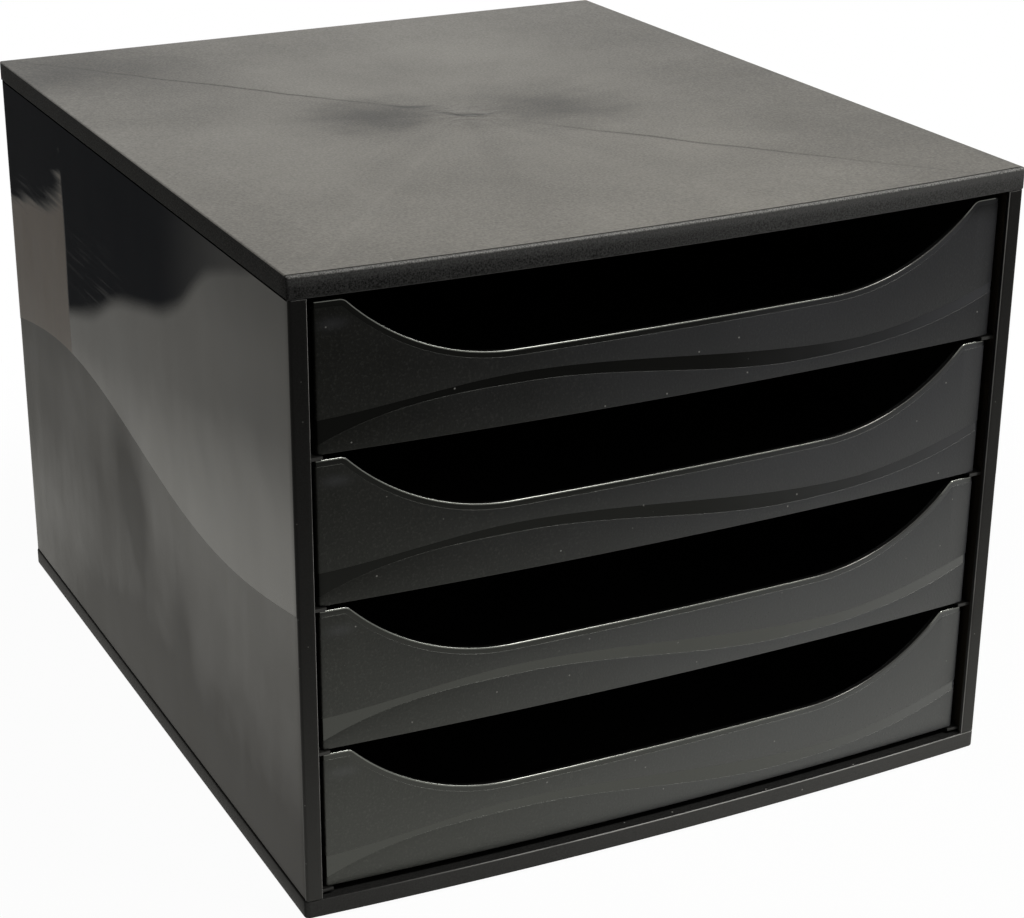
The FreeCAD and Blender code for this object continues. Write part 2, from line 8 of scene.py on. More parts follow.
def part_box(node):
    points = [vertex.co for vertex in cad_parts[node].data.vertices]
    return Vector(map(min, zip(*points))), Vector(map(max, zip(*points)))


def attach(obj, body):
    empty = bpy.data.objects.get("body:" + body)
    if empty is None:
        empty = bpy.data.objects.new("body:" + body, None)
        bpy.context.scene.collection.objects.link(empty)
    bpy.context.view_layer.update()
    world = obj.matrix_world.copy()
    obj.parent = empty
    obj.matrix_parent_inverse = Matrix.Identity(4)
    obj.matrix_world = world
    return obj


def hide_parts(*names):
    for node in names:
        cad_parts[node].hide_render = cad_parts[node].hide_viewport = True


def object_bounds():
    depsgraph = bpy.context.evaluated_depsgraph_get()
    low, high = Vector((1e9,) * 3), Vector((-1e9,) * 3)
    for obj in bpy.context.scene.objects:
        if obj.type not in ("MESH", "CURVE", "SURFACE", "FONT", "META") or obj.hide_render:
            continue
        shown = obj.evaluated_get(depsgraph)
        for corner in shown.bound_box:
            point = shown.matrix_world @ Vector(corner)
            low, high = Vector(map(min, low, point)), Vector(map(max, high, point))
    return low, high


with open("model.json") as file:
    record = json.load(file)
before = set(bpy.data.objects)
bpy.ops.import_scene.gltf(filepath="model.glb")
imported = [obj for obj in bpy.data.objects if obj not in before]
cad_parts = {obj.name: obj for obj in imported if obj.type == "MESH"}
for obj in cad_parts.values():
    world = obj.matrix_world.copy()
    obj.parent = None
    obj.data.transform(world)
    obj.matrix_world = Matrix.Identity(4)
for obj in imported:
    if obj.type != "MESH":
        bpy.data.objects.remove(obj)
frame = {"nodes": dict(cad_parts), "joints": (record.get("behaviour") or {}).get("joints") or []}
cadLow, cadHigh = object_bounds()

mm = 0.001
drawerNumbers = (1, 2, 3, 4)
drawerTravel = frame["joints"][0]["range_m"][1]
print("frame loaded:", len(frame["nodes"]), "nodes")

# the case: every front follows one shallow bow, as seen from above
case = {
    "frontBow": 5.0 * mm,      # how far the middle of the front stands proud of its corners
    "fitGap": 0.15 * mm,
}
caseHalfWidth = cadHigh.x
caseFront = cadLow.y
caseBack = cadHigh.y
cornerFront = caseFront + case["frontBow"]
bowRadius = (caseHalfWidth ** 2 + case["frontBow"] ** 2) / (2 * case["frontBow"])
bowCentre = caseFront + bowRadius


def bowY(x, setback=0.0):
    return bowCentre - math.sqrt((bowRadius - setback) ** 2 - x * x)


# mesh helpers

creaseAngle = math.radians(32.0)       # two faces that turn further than this meet in a hard edge
mergeGap = 0.004 * mm                  # points closer than this become one
tooShort = 0.001 * mm                  # edges shorter than this go


def spaced(start, end, count):
    return [start + (end - start) * step / count for step in range(count + 1)]


def eased(t):
    t = min(max(t, 0.0), 1.0)
    return t * t * (3 - 2 * t)


def crease(mesh):
    # smooth shading, broken at the hard edges
    work = bmesh.new()
    work.from_mesh(mesh)
    for edge in work.edges:
        edge.smooth = len(edge.link_faces) == 2 and edge.calc_face_angle() < creaseAngle
    for face in work.faces:
        face.smooth = True
    work.to_mesh(mesh)
    work.free()


class Shell:
    # collects points and faces, and turns them into one clean mesh object

    def __init__(self):
        self.points = []
        self.faces = []
        self.finishes = []
        self.marks = {}

    def add(self, point, **marks):
        # marks become values of the point that Geometry Nodes can read
        self.points.append(tuple(point))
        for name, value in marks.items():
            self.marks.setdefault(name, {})[len(self.points) - 1] = value
        return len(self.points) - 1

    def face(self, corners, finish=0):
        self.faces.append(tuple(corners))
        self.finishes.append(finish)

    def bridge(self, first, second, finishes):
        # faces between two rings of as many points
        for index, finish in enumerate(finishes):
            after = (index + 1) % len(first)
            self.face((first[index], first[after], second[after], second[index]), finish)

    def stack(self, rings, finish=0, capped=True):
        # walls from each ring to the next, closed at both ends
        for first, second in zip(rings, rings[1:]):
            self.bridge(first, second, finishes=[finish] * len(first))
        if capped:
            self.face(rings[0][::-1], finish)
            self.face(rings[-1], finish)

    def block(self, low, high, chamfer, finish=0):
        # a box whose edges are broken all round
        levels = ((low[2], chamfer), (low[2] + chamfer, 0.0), (high[2] - chamfer, 0.0), (high[2], chamfer))
        rings = []
        for z, inset in levels:
            x0, x1 = low[0] + inset, high[0] - inset
            y0, y1 = low[1] + inset, high[1] - inset
            rings.append([self.add((x, y, z)) for x, y in ((x0, y0), (x1, y0), (x1, y1), (x0, y1))])
        self.stack(rings, finish)

    def turned(self, x, y, profile, segments):
        # a closed profile of (radius, height) turned about an upright axis
        rings = []
        for radius, z in profile:
            rings.append([self.add((x + radius * math.cos(angle), y + radius * math.sin(angle), z))
                          for angle in (2 * math.pi * step / segments for step in range(segments))])
        self.stack(rings)

    def finished(self, name, finishes):
        mesh = bpy.data.meshes.new(name)
        mesh.from_pydata(self.points, [], self.faces)
        for label, values in self.marks.items():
            layer = mesh.attributes.new(label, "FLOAT", "POINT")
            for index, value in values.items():
                layer.data[index].value = value
        mesh.polygons.foreach_set("material_index", self.finishes)
        for finish in finishes:
            mesh.materials.append(finish)
        work = bmesh.new()
        work.from_mesh(mesh)
        bmesh.ops.remove_doubles(work, verts=work.verts, dist=mergeGap)
        bmesh.ops.dissolve_degenerate(work, edges=work.edges, dist=tooShort)
        bmesh.ops.recalc_face_normals(work, faces=work.faces)
        work.to_mesh(mesh)
        work.free()
        crease(mesh)
        piece = bpy.data.objects.new(name, mesh)
        bpy.context.scene.collection.objects.link(piece)
        return piece


# lid and base: plates with a bowed front and a skirt round the hollow underside

class Plate:
    # rings of the same number of points, one for each height of the moulding

    def __init__(self, shell, columns, rows, cornerRadius, cornerSteps):
        self.shell = shell
        self.columns = columns
        self.rows = rows
        self.cornerRadius = cornerRadius
        self.cornerSteps = cornerSteps

    def limits(self, insetSide, insetFront, insetBack):
        # where the straight edges end and the corner's two radii
        acrossX = max(self.cornerRadius - insetSide, 0.0)
        acrossFront = max(self.cornerRadius - insetFront, 0.0)
        acrossBack = max(self.cornerRadius - insetBack, 0.0)
        endX = caseHalfWidth - insetSide - acrossX
        frontY = bowY(endX, insetFront) + acrossFront
        backY = caseBack - insetBack - acrossBack
        return endX, frontY, backY, acrossX, acrossFront, acrossBack

    def turn(self, centre, radii, start, end, fromSide=False):
        # a rounded corner's points between its two ends, its height going from start to end
        points = []
        for step in range(1, self.cornerSteps):
            angle = math.pi / 2 * step / self.cornerSteps
            across, along = math.sin(angle), math.cos(angle)
            if fromSide:
                across, along = along, across
            points.append((centre[0] + radii[0] * across, centre[1] + radii[1] * along,
                           start + (end - start) * eased(step / self.cornerSteps)))
        return points

    def ring(self, side, front, back):
        # side, front and back are (inset, height) there; the corners blend them
        endX, frontY, backY, acrossX, acrossFront, acrossBack = self.limits(side[0], front[0], back[0])
        xs = [-endX] + self.columns + [endX]
        ys = [frontY] + self.rows + [backY]
        points = [(x, bowY(x, front[0]), front[1]) for x in xs]
        points += self.turn((endX, frontY), (acrossX, -acrossFront), front[1], side[1])
        points += [(endX + acrossX, y, side[1]) for y in ys]
        points += self.turn((endX, backY), (acrossX, acrossBack), side[1], back[1], fromSide=True)
        points += [(x, backY + acrossBack, back[1]) for x in reversed(xs)]
        points += self.turn((-endX, backY), (-acrossX, acrossBack), back[1], side[1])
        points += [(-endX - acrossX, y, side[1]) for y in reversed(ys)]
        points += self.turn((-endX, frontY), (-acrossX, -acrossFront), side[1], front[1], fromSide=True)
        return [self.shell.add(point) for point in points]

    def level(self, inset, height):
        return self.ring((inset, height), (inset, height), (inset, height))

    def patch(self, insetSide, insetFront, insetBack, height, holes=(), dip=None):
        # the face inside a ring that is past its corner radii; holes are (x0, x1, y0, y1)
        endX, _, backY, *_ = self.limits(insetSide, insetFront, insetBack)
        xs = [-endX] + self.columns + [endX]
        grid = []
        for x in xs:
            ys = [bowY(x, insetFront)] + self.rows + [backY]
            line = []
            for y in ys:
                inner = 0 < len(line) < len(ys) - 1 and abs(x) < endX
                sink = dip(x, y) if dip and inner else 0.0
                line.append(self.shell.add((x, y, height - sink)))
            grid.append(line)
        for i in range(len(xs) - 1):
            for j in range(len(self.rows) + 1):
                corners = (grid[i][j], grid[i + 1][j], grid[i + 1][j + 1], grid[i][j + 1])
                middle = [sum(self.shell.points[c][axis] for c in corners) / 4 for axis in range(2)]
                if not any(x0 < middle[0] < x1 and y0 < middle[1] < y1 for x0, x1, y0, y1 in holes):
                    self.shell.face(corners)

    def slotWalls(self, hole, low, high):
        # the four walls of a slot through the plate, on the plate's own cuts
        x0, x1, y0, y1 = hole
        tiny = 0.001 * mm
        xs = [x for x in self.columns if x0 - tiny <= x <= x1 + tiny]
        ys = [y for y in self.rows if y0 - tiny <= y <= y1 + tiny]
        loop = [(x, ys[0]) for x in xs] + [(xs[-1], y) for y in ys[1:]]
        loop += [(x, ys[-1]) for x in reversed(xs[:-1])] + [(xs[0], y) for y in reversed(ys[1:-1])]
        lower = [self.shell.add((x, y, low)) for x, y in loop]
        upper = [self.shell.add((x, y, high)) for x, y in loop]
        self.shell.stack([lower, upper], capped=False)


def cuts(span, fixed=()):
    # evenly spaced cuts over (start, end, count), with some exact ones among them
    values = [v for v in spaced(*span) if all(abs(v - f) > plates["cutGap"] for f in fixed)]
    return sorted(values + list(fixed))


def quarter(steps):
    # how far a quarter round has gone in and up, from upright to level
    return [(1 - math.cos(a), math.sin(a)) for a in (math.pi / 2 * s / steps for s in range(steps + 1))]


plates = {
    "wall": 2.5 * mm,
    "skirt": 1.6 * mm,
    "cutGap": 0.6 * mm,        # the least between an even cut and an exact one
    "lidColumns": (-138 * mm, 138 * mm, 46),
    "lidRows": (-155 * mm, 160 * mm, 30),
    "lidFrontRoll": 1.0 * mm,
    "lidRollSteps": 6,
    # the groove behind the roll: share of the way in at the sides, setback and depth
    "lidGroove": ((0.2, 0.05 * mm, 0.0), (0.5, 0.45 * mm, 0.50 * mm), (0.7, 0.53 * mm, 0.0),
                  (1.0, 0.60 * mm, 0.0)),
    "lidEdge": 0.5 * mm,
    "lidCorner": 1.0 * mm,
    "lidCornerSteps": 5,
    "lidMargin": 0.4 * mm,     # from the corner to the flat face
    "lidLowerEdge": 0.35 * mm,
    "lidDip": 0.25 * mm,
    "dipSpread": 1.4,
    "baseColumns": (-136 * mm, 136 * mm, 44),
    "baseRows": (-155 * mm, 160 * mm, 24),
    "baseCorner": 2.0 * mm,
    "baseCornerSteps": 7,
    "baseEdgeSteps": 4,
    "baseMargin": 0.02 * mm,
    "baseUpperEdge": 0.45 * mm,
    "baseLowerEdge": 0.8 * mm,
}


def lidDip(x, y):
    across = math.cos(math.pi / 2 * min(abs(x) / caseHalfWidth, 1.0))
    along = math.cos(math.pi * y / (caseBack - caseFront))
    spread = plates["dipSpread"]
    return plates["lidDip"] * eased(across * spread) * eased(max(along, 0.0) * spread)


def makeLid(finish):
    low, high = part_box("top_panel")
    shell = Shell()
    plate = Plate(shell, cuts(plates["lidColumns"]), cuts(plates["lidRows"]), plates["lidCorner"],
                  plates["lidCornerSteps"])
    skirt, edge, roll = plates["skirt"], plates["lidEdge"], plates["lidFrontRoll"]
    lowerEdge = plates["lidLowerEdge"]
    underside = high.z - plates["wall"]
    rings = [plate.level(skirt, underside), plate.level(skirt, low.z),
             plate.level(lowerEdge, low.z), plate.level(0.0, low.z + lowerEdge)]
    for inward, upward in quarter(plates["lidRollSteps"]):
        sides = (edge * inward, high.z - edge * (1 - upward))
        rings.append(plate.ring(sides, (roll * inward, high.z - roll * (1 - upward)), sides))
    topInset = plates["lidCorner"] + plates["lidMargin"]
    for share, inset, sunk in plates["lidGroove"]:
        side = edge + (topInset - edge) * share
        rings.append(plate.ring((side, high.z), (roll + inset, high.z - sunk), (side, high.z)))
    shell.stack(rings, capped=False)
    plate.patch(topInset, roll + plates["lidGroove"][-1][1], topInset, high.z, dip=lidDip)
    plate.patch(skirt, skirt, skirt, underside)
    return shell.finished("lid", [finish])


print("plate tools ready")

tabs = {
    "length": 30.0 * mm,
    "wall": 1.3 * mm,
    "chamfer": 0.2 * mm,
    "root": 1.0 * mm,          # how far it starts inside the wall that carries it
    "reach": 5.5 * mm,         # how far a tab goes down through the base
    "inset": 40.0 * mm,        # from the ends of the wall that carries it
    "sideCount": 3,
    "backCount": 2,
    "tongueHeight": 4.5 * mm,
    "tongueInset": 20.0 * mm,
}


def tabStarts(start, end, count):
    # where each tab of a wall begins, evenly spaced between the insets
    first = start + tabs["inset"]
    last = end - tabs["inset"] - tabs["length"]
    return spaced(first, last, count - 1)


# walls of the case, from the frame's own boxes and a few thicknesses
walls = {
    "side": 3.2 * mm,
    "bandWidth": 6.5 * mm,     # the upright band at each end of the front
    "bandDepth": 9.0 * mm,
    "returnDepth": 2.4 * mm,   # the lip behind the back panel
    "backChamfer": 0.3 * mm,
}
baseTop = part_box("bottom_panel")[1].z
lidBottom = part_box("top_panel")[0].z
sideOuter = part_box("right_side_panel")[1].x
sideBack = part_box("right_side_panel")[1].y
sideInner = sideOuter - walls["side"]
bandInner = caseHalfWidth - walls["bandWidth"]
bandBack = cornerFront + walls["bandDepth"]
returnFront = sideBack - walls["returnDepth"]
backLow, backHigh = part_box("back_panel")


def baseSlots():
    gap = case["fitGap"]
    slots = []
    for start in tabStarts(bandBack, returnFront, tabs["sideCount"]):
        low, high = start - gap, start + tabs["length"] + gap
        x0, x1 = sideInner - gap, sideInner + tabs["wall"] + gap
        slots += [(x0, x1, low, high), (-x1, -x0, low, high)]
    for start in tabStarts(backLow.x, backHigh.x, tabs["backCount"]):
        slots.append((start - gap, start + tabs["length"] + gap,
                      backHigh.y - tabs["wall"] - gap, backHigh.y + gap))
    return slots


feet = {
    "nodes": ("foot_front_left", "foot_front_right", "foot_back_left", "foot_back_right"),
    "bossWall": 1.8 * mm,
    "bossChamfer": 0.2 * mm,
    "bossRoot": 0.5 * mm,      # how far it goes up into the base
    "chamfer": 0.4 * mm,
    "segments": 40,
}


def makeBase(finish):
    low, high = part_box("bottom_panel")
    shell = Shell()
    digits = 7                         # so that equal sides of two slots make one cut
    slots = [tuple(round(value, digits) for value in slot) for slot in baseSlots()]
    slotXs = sorted({x for slot in slots for x in slot[:2]})
    slotYs = sorted({y for slot in slots for y in slot[2:]})
    plate = Plate(shell, cuts(plates["baseColumns"], slotXs), cuts(plates["baseRows"], slotYs),
                  plates["baseCorner"], plates["baseCornerSteps"])
    skirt = plates["skirt"]
    underside = high.z - plates["wall"]
    rings = [plate.level(skirt, underside), plate.level(skirt, low.z)]
    lower, upper = plates["baseLowerEdge"], plates["baseUpperEdge"]
    for inward, upward in reversed(quarter(plates["baseEdgeSteps"])):
        rings.append(plate.level(lower * inward, low.z + lower * (1 - upward)))
    for inward, upward in quarter(plates["baseEdgeSteps"]):
        rings.append(plate.level(upper * inward, high.z - upper * (1 - upward)))
    topInset = plates["baseCorner"] + plates["baseMargin"]
    rings.append(plate.level(topInset, high.z))
    shell.stack(rings, capped=False)
    plate.patch(topInset, topInset, topInset, high.z, slots)
    plate.patch(skirt, skirt, skirt, underside, slots)
    for slot in slots:
        plate.slotWalls(slot, underside, high.z)
    for node in feet["nodes"]:
        padLow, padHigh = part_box(node)
        socket = (padHigh.x - padLow.x) / 2 + case["fitGap"]
        outer, chamfer = socket + feet["bossWall"], feet["bossChamfer"]
        profile = [(socket, padHigh.z), (socket, low.z), (outer - chamfer, low.z),
                   (outer, low.z + chamfer), (outer, underside + feet["bossRoot"])]
        shell.turned((padLow.x + padHigh.x) / 2, (padLow.y + padHigh.y) / 2, profile, feet["segments"])
    return shell.finished("base", [finish])


# Geometry Nodes: one small helper for trees with named inputs

class Tree:
    def __init__(self, name, inputs, takesMesh=False):
        self.group = bpy.data.node_groups.new(name, "GeometryNodeTree")
        face = self.group.interface
        if takesMesh:
            face.new_socket("Geometry", in_out="INPUT", socket_type="NodeSocketGeometry")
        kinds = {float: "NodeSocketFloat", int: "NodeSocketInt", tuple: "NodeSocketVector"}
        self.inputs = inputs
        for label, value in inputs.items():
            kind = kinds.get(type(value), "NodeSocketMaterial")
            face.new_socket(label, in_out="INPUT", socket_type=kind)
        face.new_socket("Geometry", in_out="OUTPUT", socket_type="NodeSocketGeometry")
        self.start = self.group.nodes.new("NodeGroupInput")
        self.end = self.group.nodes.new("NodeGroupOutput")

    def value(self, label):
        return self.start.outputs[label]

    def node(self, kind, settings=None, **values):
        # an input is given by its label, or as _2 by its number
        made = self.group.nodes.new(kind)
        for key, setting in (settings or {}).items():
            setattr(made, key, setting)
        for label, value in values.items():
            socket = made.inputs[int(label[1:])] if label[0] == "_" else made.inputs[label.replace("_", " ")]
            if isinstance(value, bpy.types.NodeSocket):
                self.group.links.new(value, socket)
            else:
                socket.default_value = value
        return made

    def maths(self, operation, first, second=0.0, third=0.0):
        made = self.node("ShaderNodeMath", {"operation": operation}, _0=first, _1=second, _2=third)
        return made.outputs[0]

    def finish(self, geometry):
        realized = self.node("GeometryNodeRealizeInstances", Geometry=geometry)
        painted = self.node("GeometryNodeSetMaterial", Geometry=realized.outputs[0],
                            Material=self.value("Finish"))
        self.group.links.new(painted.outputs[0], self.end.inputs["Geometry"])

    def grow(self, name, mesh=None):
        # runs the tree on an object and keeps the result as a plain mesh
        source = bpy.data.objects.new(name + "Source", mesh or bpy.data.meshes.new(name))
        bpy.context.scene.collection.objects.link(source)
        modifier = source.modifiers.new(name, "NODES")
        modifier.node_group = self.group
        for item in self.group.interface.items_tree:
            if item.in_out == "INPUT" and item.name in self.inputs:
                modifier[item.identifier] = self.inputs[item.name]
        graph = bpy.context.evaluated_depsgraph_get()
        result = bpy.data.meshes.new_from_object(source.evaluated_get(graph))
        bpy.data.objects.remove(source)
        result.name = name
        crease(result)
        piece = bpy.data.objects.new(name, result)
        bpy.context.scene.collection.objects.link(piece)
        return piece


def barRow(tree, count, first, step, size):
    # a row of equal bars: start point, step between them and the bar's size
    line = tree.node("GeometryNodeMeshLine", {"mode": "OFFSET"}, Count=count,
                     Start_Location=first, Offset=step)
    bar = tree.node("GeometryNodeMeshCube", Size=size)
    return tree.node("GeometryNodeInstanceOnPoints", Points=line.outputs[0],
                     Instance=bar.outputs["Mesh"]).outputs[0]


rails = {
    "wall": 1.2 * mm,
    "reach": 8.0 * mm,
    "lift": 1.1 * mm,          # of the lowest rail above the base
    "setback": 2.0 * mm,       # behind the case's front corner
    "endGap": 0.5 * mm,
}


def makeRails(name, side, finish):
    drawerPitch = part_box("drawer_1")[0].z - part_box("drawer_2")[0].z
    front = cornerFront + rails["setback"]
    back = backLow.y - rails["endGap"]
    lowest = baseTop + rails["lift"] + rails["wall"] / 2
    tree = Tree("railRow", {
        "Count": len(drawerNumbers),
        "First": (side * (sideInner - rails["reach"] / 2), (front + back) / 2, lowest),
        "Step": (0.0, 0.0, drawerPitch),
        "Size": (rails["reach"], back - front, rails["wall"]),
        "Finish": finish,
    })
    tree.finish(barRow(tree, *(tree.value(label) for label in ("Count", "First", "Step", "Size"))))
    return tree.grow(name)


ribs = {
    "wall": 1.6 * mm,
    "depth": 2.4 * mm,
    "margin": 9.0 * mm,
    "lengthwise": 5,
    "crosswise": 4,
}


def makeRibs(name, plateTop, finish):
    halfX = backHigh.x - ribs["margin"]
    front, back = bandBack + ribs["margin"], backLow.y - ribs["margin"]
    level = plateTop - plates["wall"] - ribs["depth"] / 2
    middleY, wall = (front + back) / 2, ribs["wall"]
    tree = Tree("ribRows", {
        "Long Count": ribs["lengthwise"],
        "Long First": (wall / 2 - halfX, middleY, level),
        "Long Step": ((2 * halfX - wall) / (ribs["lengthwise"] - 1), 0.0, 0.0),
        "Long Size": (wall, back - front, ribs["depth"]),
        "Cross Count": ribs["crosswise"],
        "Cross First": (0.0, front + wall / 2, level),
        "Cross Step": (0.0, (back - front - wall) / (ribs["crosswise"] - 1), 0.0),
        "Cross Size": (2 * halfX, wall, ribs["depth"]),
        "Finish": finish,
    })
    joined = tree.node("GeometryNodeJoinGeometry")
    for way in ("Long", "Cross"):
        parts = (tree.value(way + " " + label) for label in ("Count", "First", "Step", "Size"))
        tree.group.links.new(barRow(tree, *parts), joined.inputs[0])
    tree.finish(joined.outputs[0])
    return tree.grow(name)


def makeFeet(finish):
    boxes = [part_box(node) for node in feet["nodes"]]
    centres = [((low.x + high.x) / 2, (low.y + high.y) / 2) for low, high in boxes]
    low, high = boxes[0]
    radius, thickness = (high.x - low.x) / 2, high.z - low.z
    spanX = centres[1][0] - centres[0][0]
    spanY = centres[2][1] - centres[0][1]
    tree = Tree("footPads", {
        "Radius": radius,
        "Thickness": thickness - feet["chamfer"],
        "Chamfer": feet["chamfer"],
        "Span X": spanX,
        "Span Y": spanY,
        "Centre": (0.0, (centres[0][1] + centres[2][1]) / 2, high.z - (thickness - feet["chamfer"]) / 2),
        "Finish": finish,
    })
    corners = tree.node("GeometryNodeMeshGrid", Size_X=tree.value("Span X"), Size_Y=tree.value("Span Y"),
                        Vertices_X=2, Vertices_Y=2)
    placed = tree.node("GeometryNodeTransform", Geometry=corners.outputs[0],
                       Translation=tree.value("Centre"))
    pad = tree.node("GeometryNodeMeshCylinder", Vertices=feet["segments"], Radius=tree.value("Radius"),
                    Depth=tree.value("Thickness"))
    rim = tree.node("GeometryNodeExtrudeMesh", {"mode": "FACES"}, Mesh=pad.outputs["Mesh"],
                    Selection=pad.outputs["Bottom"], Offset_Scale=tree.value("Chamfer"))
    share = tree.maths("DIVIDE", tree.maths("SUBTRACT", tree.value("Radius"), tree.value("Chamfer")),
                       tree.value("Radius"))
    tapered = tree.node("GeometryNodeScaleElements", Geometry=rim.outputs["Mesh"],
                        Selection=rim.outputs["Top"], Scale=share)
    spread = tree.node("GeometryNodeInstanceOnPoints", Points=placed.outputs[0],
                       Instance=tapered.outputs[0])
    tree.finish(spread.outputs[0])
    return tree.grow("feet")


# side panels: the outer skin steps back below one long wave

sideSkin = {
    "waveLevel": 119.0 * mm,
    "waveRise": 10.5 * mm,
    "waveLength": 342.0 * mm,
    "wavePhase": 2.5 * mm,
    "stepDepth": 0.13 * mm,
    "gather": 3.0,             # how closely the rows gather at the wave
    "rowsEachWay": 14,
    "columns": 110,
    "cornerRound": 1.2 * mm,
    "cornerSteps": 8,
    "bandRound": 0.5 * mm,
    "bandSteps": 5,
    "innerRound": 0.3 * mm,
    "endBreak": 0.3 * mm,
    "leastShare": 0.5,         # keeps a sharp corner from moving in too far
}


def arcPoints(centre, radius, startDegrees, endDegrees, steps):
    return [(centre[0] + radius * math.cos(a), centre[1] + radius * math.sin(a))
            for a in (math.radians(d) for d in spaced(startDegrees, endDegrees, steps))]


def sidePlan():
    # the right side's outline seen from above, each point with its share of the skin's step
    corner, band, small = sideSkin["cornerRound"], sideSkin["bandRound"], sideSkin["innerRound"]
    steps, bandSteps = sideSkin["cornerSteps"], sideSkin["bandSteps"]
    outerFront = bowY(sideOuter - corner) + corner
    plan = [((sideOuter, y), 1.0) for y in spaced(sideBack - corner, outerFront, sideSkin["columns"])]
    for index, point in enumerate(arcPoints((sideOuter - corner, outerFront), corner, 0, -90, steps)[1:]):
        plan.append((point, 1 - eased((index + 1) / steps)))
    for x in spaced(sideOuter - corner, bandInner + band, bandSteps)[1:-1]:
        plan.append(((x, bowY(x)), 0.0))
    inside = arcPoints((bandInner + band, bowY(bandInner + band) + band), band, 270, 180, bandSteps)
    inside += arcPoints((bandInner + small, bandBack - small), small, 180, 90, 2)
    inside += [(sideInner, bandBack), (sideInner, returnFront)]
    inside += arcPoints((bandInner + small, returnFront + small), small, 270, 180, 2)
    inside += arcPoints((bandInner + small, sideBack - small), small, 180, 90, 2)
    plan += [(point, 0.0) for point in inside]
    rear = arcPoints((sideOuter - corner, sideBack - corner), corner, 90, 0, steps)[:-1]
    plan += [(point, eased(index / steps)) for index, point in enumerate(rear)]
    return plan


def insetPlan(points, distance):
    # the outline moved inwards by a small distance
    count = len(points)
    moved = []
    for index, (x, y) in enumerate(points):
        x0, y0 = points[index - 1]
        x1, y1 = points[(index + 1) % count]
        before = Vector((x - x0, y - y0)).normalized()
        after = Vector((x1 - x, y1 - y)).normalized()
        turn = (before + after).normalized()
        inward = Vector((turn.y, -turn.x))
        share = max(inward.dot(Vector((before.y, -before.x))), sideSkin["leastShare"])
        moved.append((x + inward.x * distance / share, y + inward.y * distance / share))
    return moved


def waveTree(side, finish):
    # places the rows of the skin round the wave and steps the part below it back
    tree = Tree("waveSkin", {
        "Low": baseTop,
        "High": lidBottom,
        "Wave Level": sideSkin["waveLevel"],
        "Wave Rise": sideSkin["waveRise"],
        "Wave Length": sideSkin["waveLength"],
        "Wave Phase": sideSkin["wavePhase"],
        "Gather": sideSkin["gather"],
        "Step Depth": side * sideSkin["stepDepth"],
        "Step Width": 1.0 / sideSkin["rowsEachWay"],
        "Finish": finish,
    }, takesMesh=True)
    place = tree.node("ShaderNodeSeparateXYZ", _0=tree.node("GeometryNodeInputPosition").outputs[0])
    lift = tree.node("GeometryNodeInputNamedAttribute", {"data_type": "FLOAT"}, Name="lift").outputs[0]
    skin = tree.node("GeometryNodeInputNamedAttribute", {"data_type": "FLOAT"}, Name="skin").outputs[0]
    turns = tree.maths("DIVIDE", tree.maths("SUBTRACT", place.outputs[1], tree.value("Wave Phase")),
                       tree.value("Wave Length"))
    swing = tree.maths("SINE", tree.maths("MULTIPLY", turns, 2 * math.pi))
    wave = tree.maths("MULTIPLY_ADD", swing, tree.value("Wave Rise"), tree.value("Wave Level"))
    above = tree.maths("GREATER_THAN", lift, 0.0)
    share = tree.maths("POWER", tree.maths("ABSOLUTE", lift), tree.value("Gather"))
    reach = tree.node("ShaderNodeMix", {"data_type": "FLOAT"}, _0=above,
                      _2=tree.maths("SUBTRACT", tree.value("Low"), wave),
                      _3=tree.maths("SUBTRACT", tree.value("High"), wave)).outputs[0]
    height = tree.maths("MULTIPLY_ADD", reach, share, wave)
    below = tree.node("ShaderNodeMapRange", {"interpolation_type": "SMOOTHSTEP"}, Value=lift,
                      From_Min=0.0, From_Max=tree.maths("MULTIPLY", tree.value("Step Width"), -1.0),
                      To_Min=0.0, To_Max=1.0).outputs[0]
    back = tree.maths("MULTIPLY", tree.maths("MULTIPLY", below, skin), tree.value("Step Depth"))
    spot = tree.node("ShaderNodeCombineXYZ", X=tree.maths("SUBTRACT", place.outputs[0], back),
                     Y=place.outputs[1], Z=height)
    moved = tree.node("GeometryNodeSetPosition", Geometry=tree.value("Geometry"), Position=spot.outputs[0])
    tree.finish(moved.outputs[0])
    return tree


def makeSide(name, side, finish):
    plan = sidePlan()
    outline = [point for point, _ in plan]
    weights = [weight for _, weight in plan]
    rows = sideSkin["rowsEachWay"]
    lifts = [step / rows for step in range(-rows + 1, rows)]
    nearEnd = (1 - sideSkin["endBreak"] / ((lidBottom - baseTop) / 2)) ** (1 / sideSkin["gather"])
    levels = [(-1.0, sideSkin["endBreak"]), (-nearEnd, 0.0)] + [(lift, 0.0) for lift in lifts]
    levels += [(nearEnd, 0.0), (1.0, sideSkin["endBreak"])]
    shell = Shell()
    rings = []
    for lift, inset in levels:
        points = insetPlan(outline, inset) if inset else outline
        rings.append([shell.add((side * x, y, lift), lift=lift, skin=weight)
                      for (x, y), weight in zip(points, weights)])
    shell.stack(rings)
    rough = shell.finished(name + "Rough", [finish])
    piece = waveTree(side, finish).grow(name, rough.data)
    bpy.data.objects.remove(rough)
    return piece


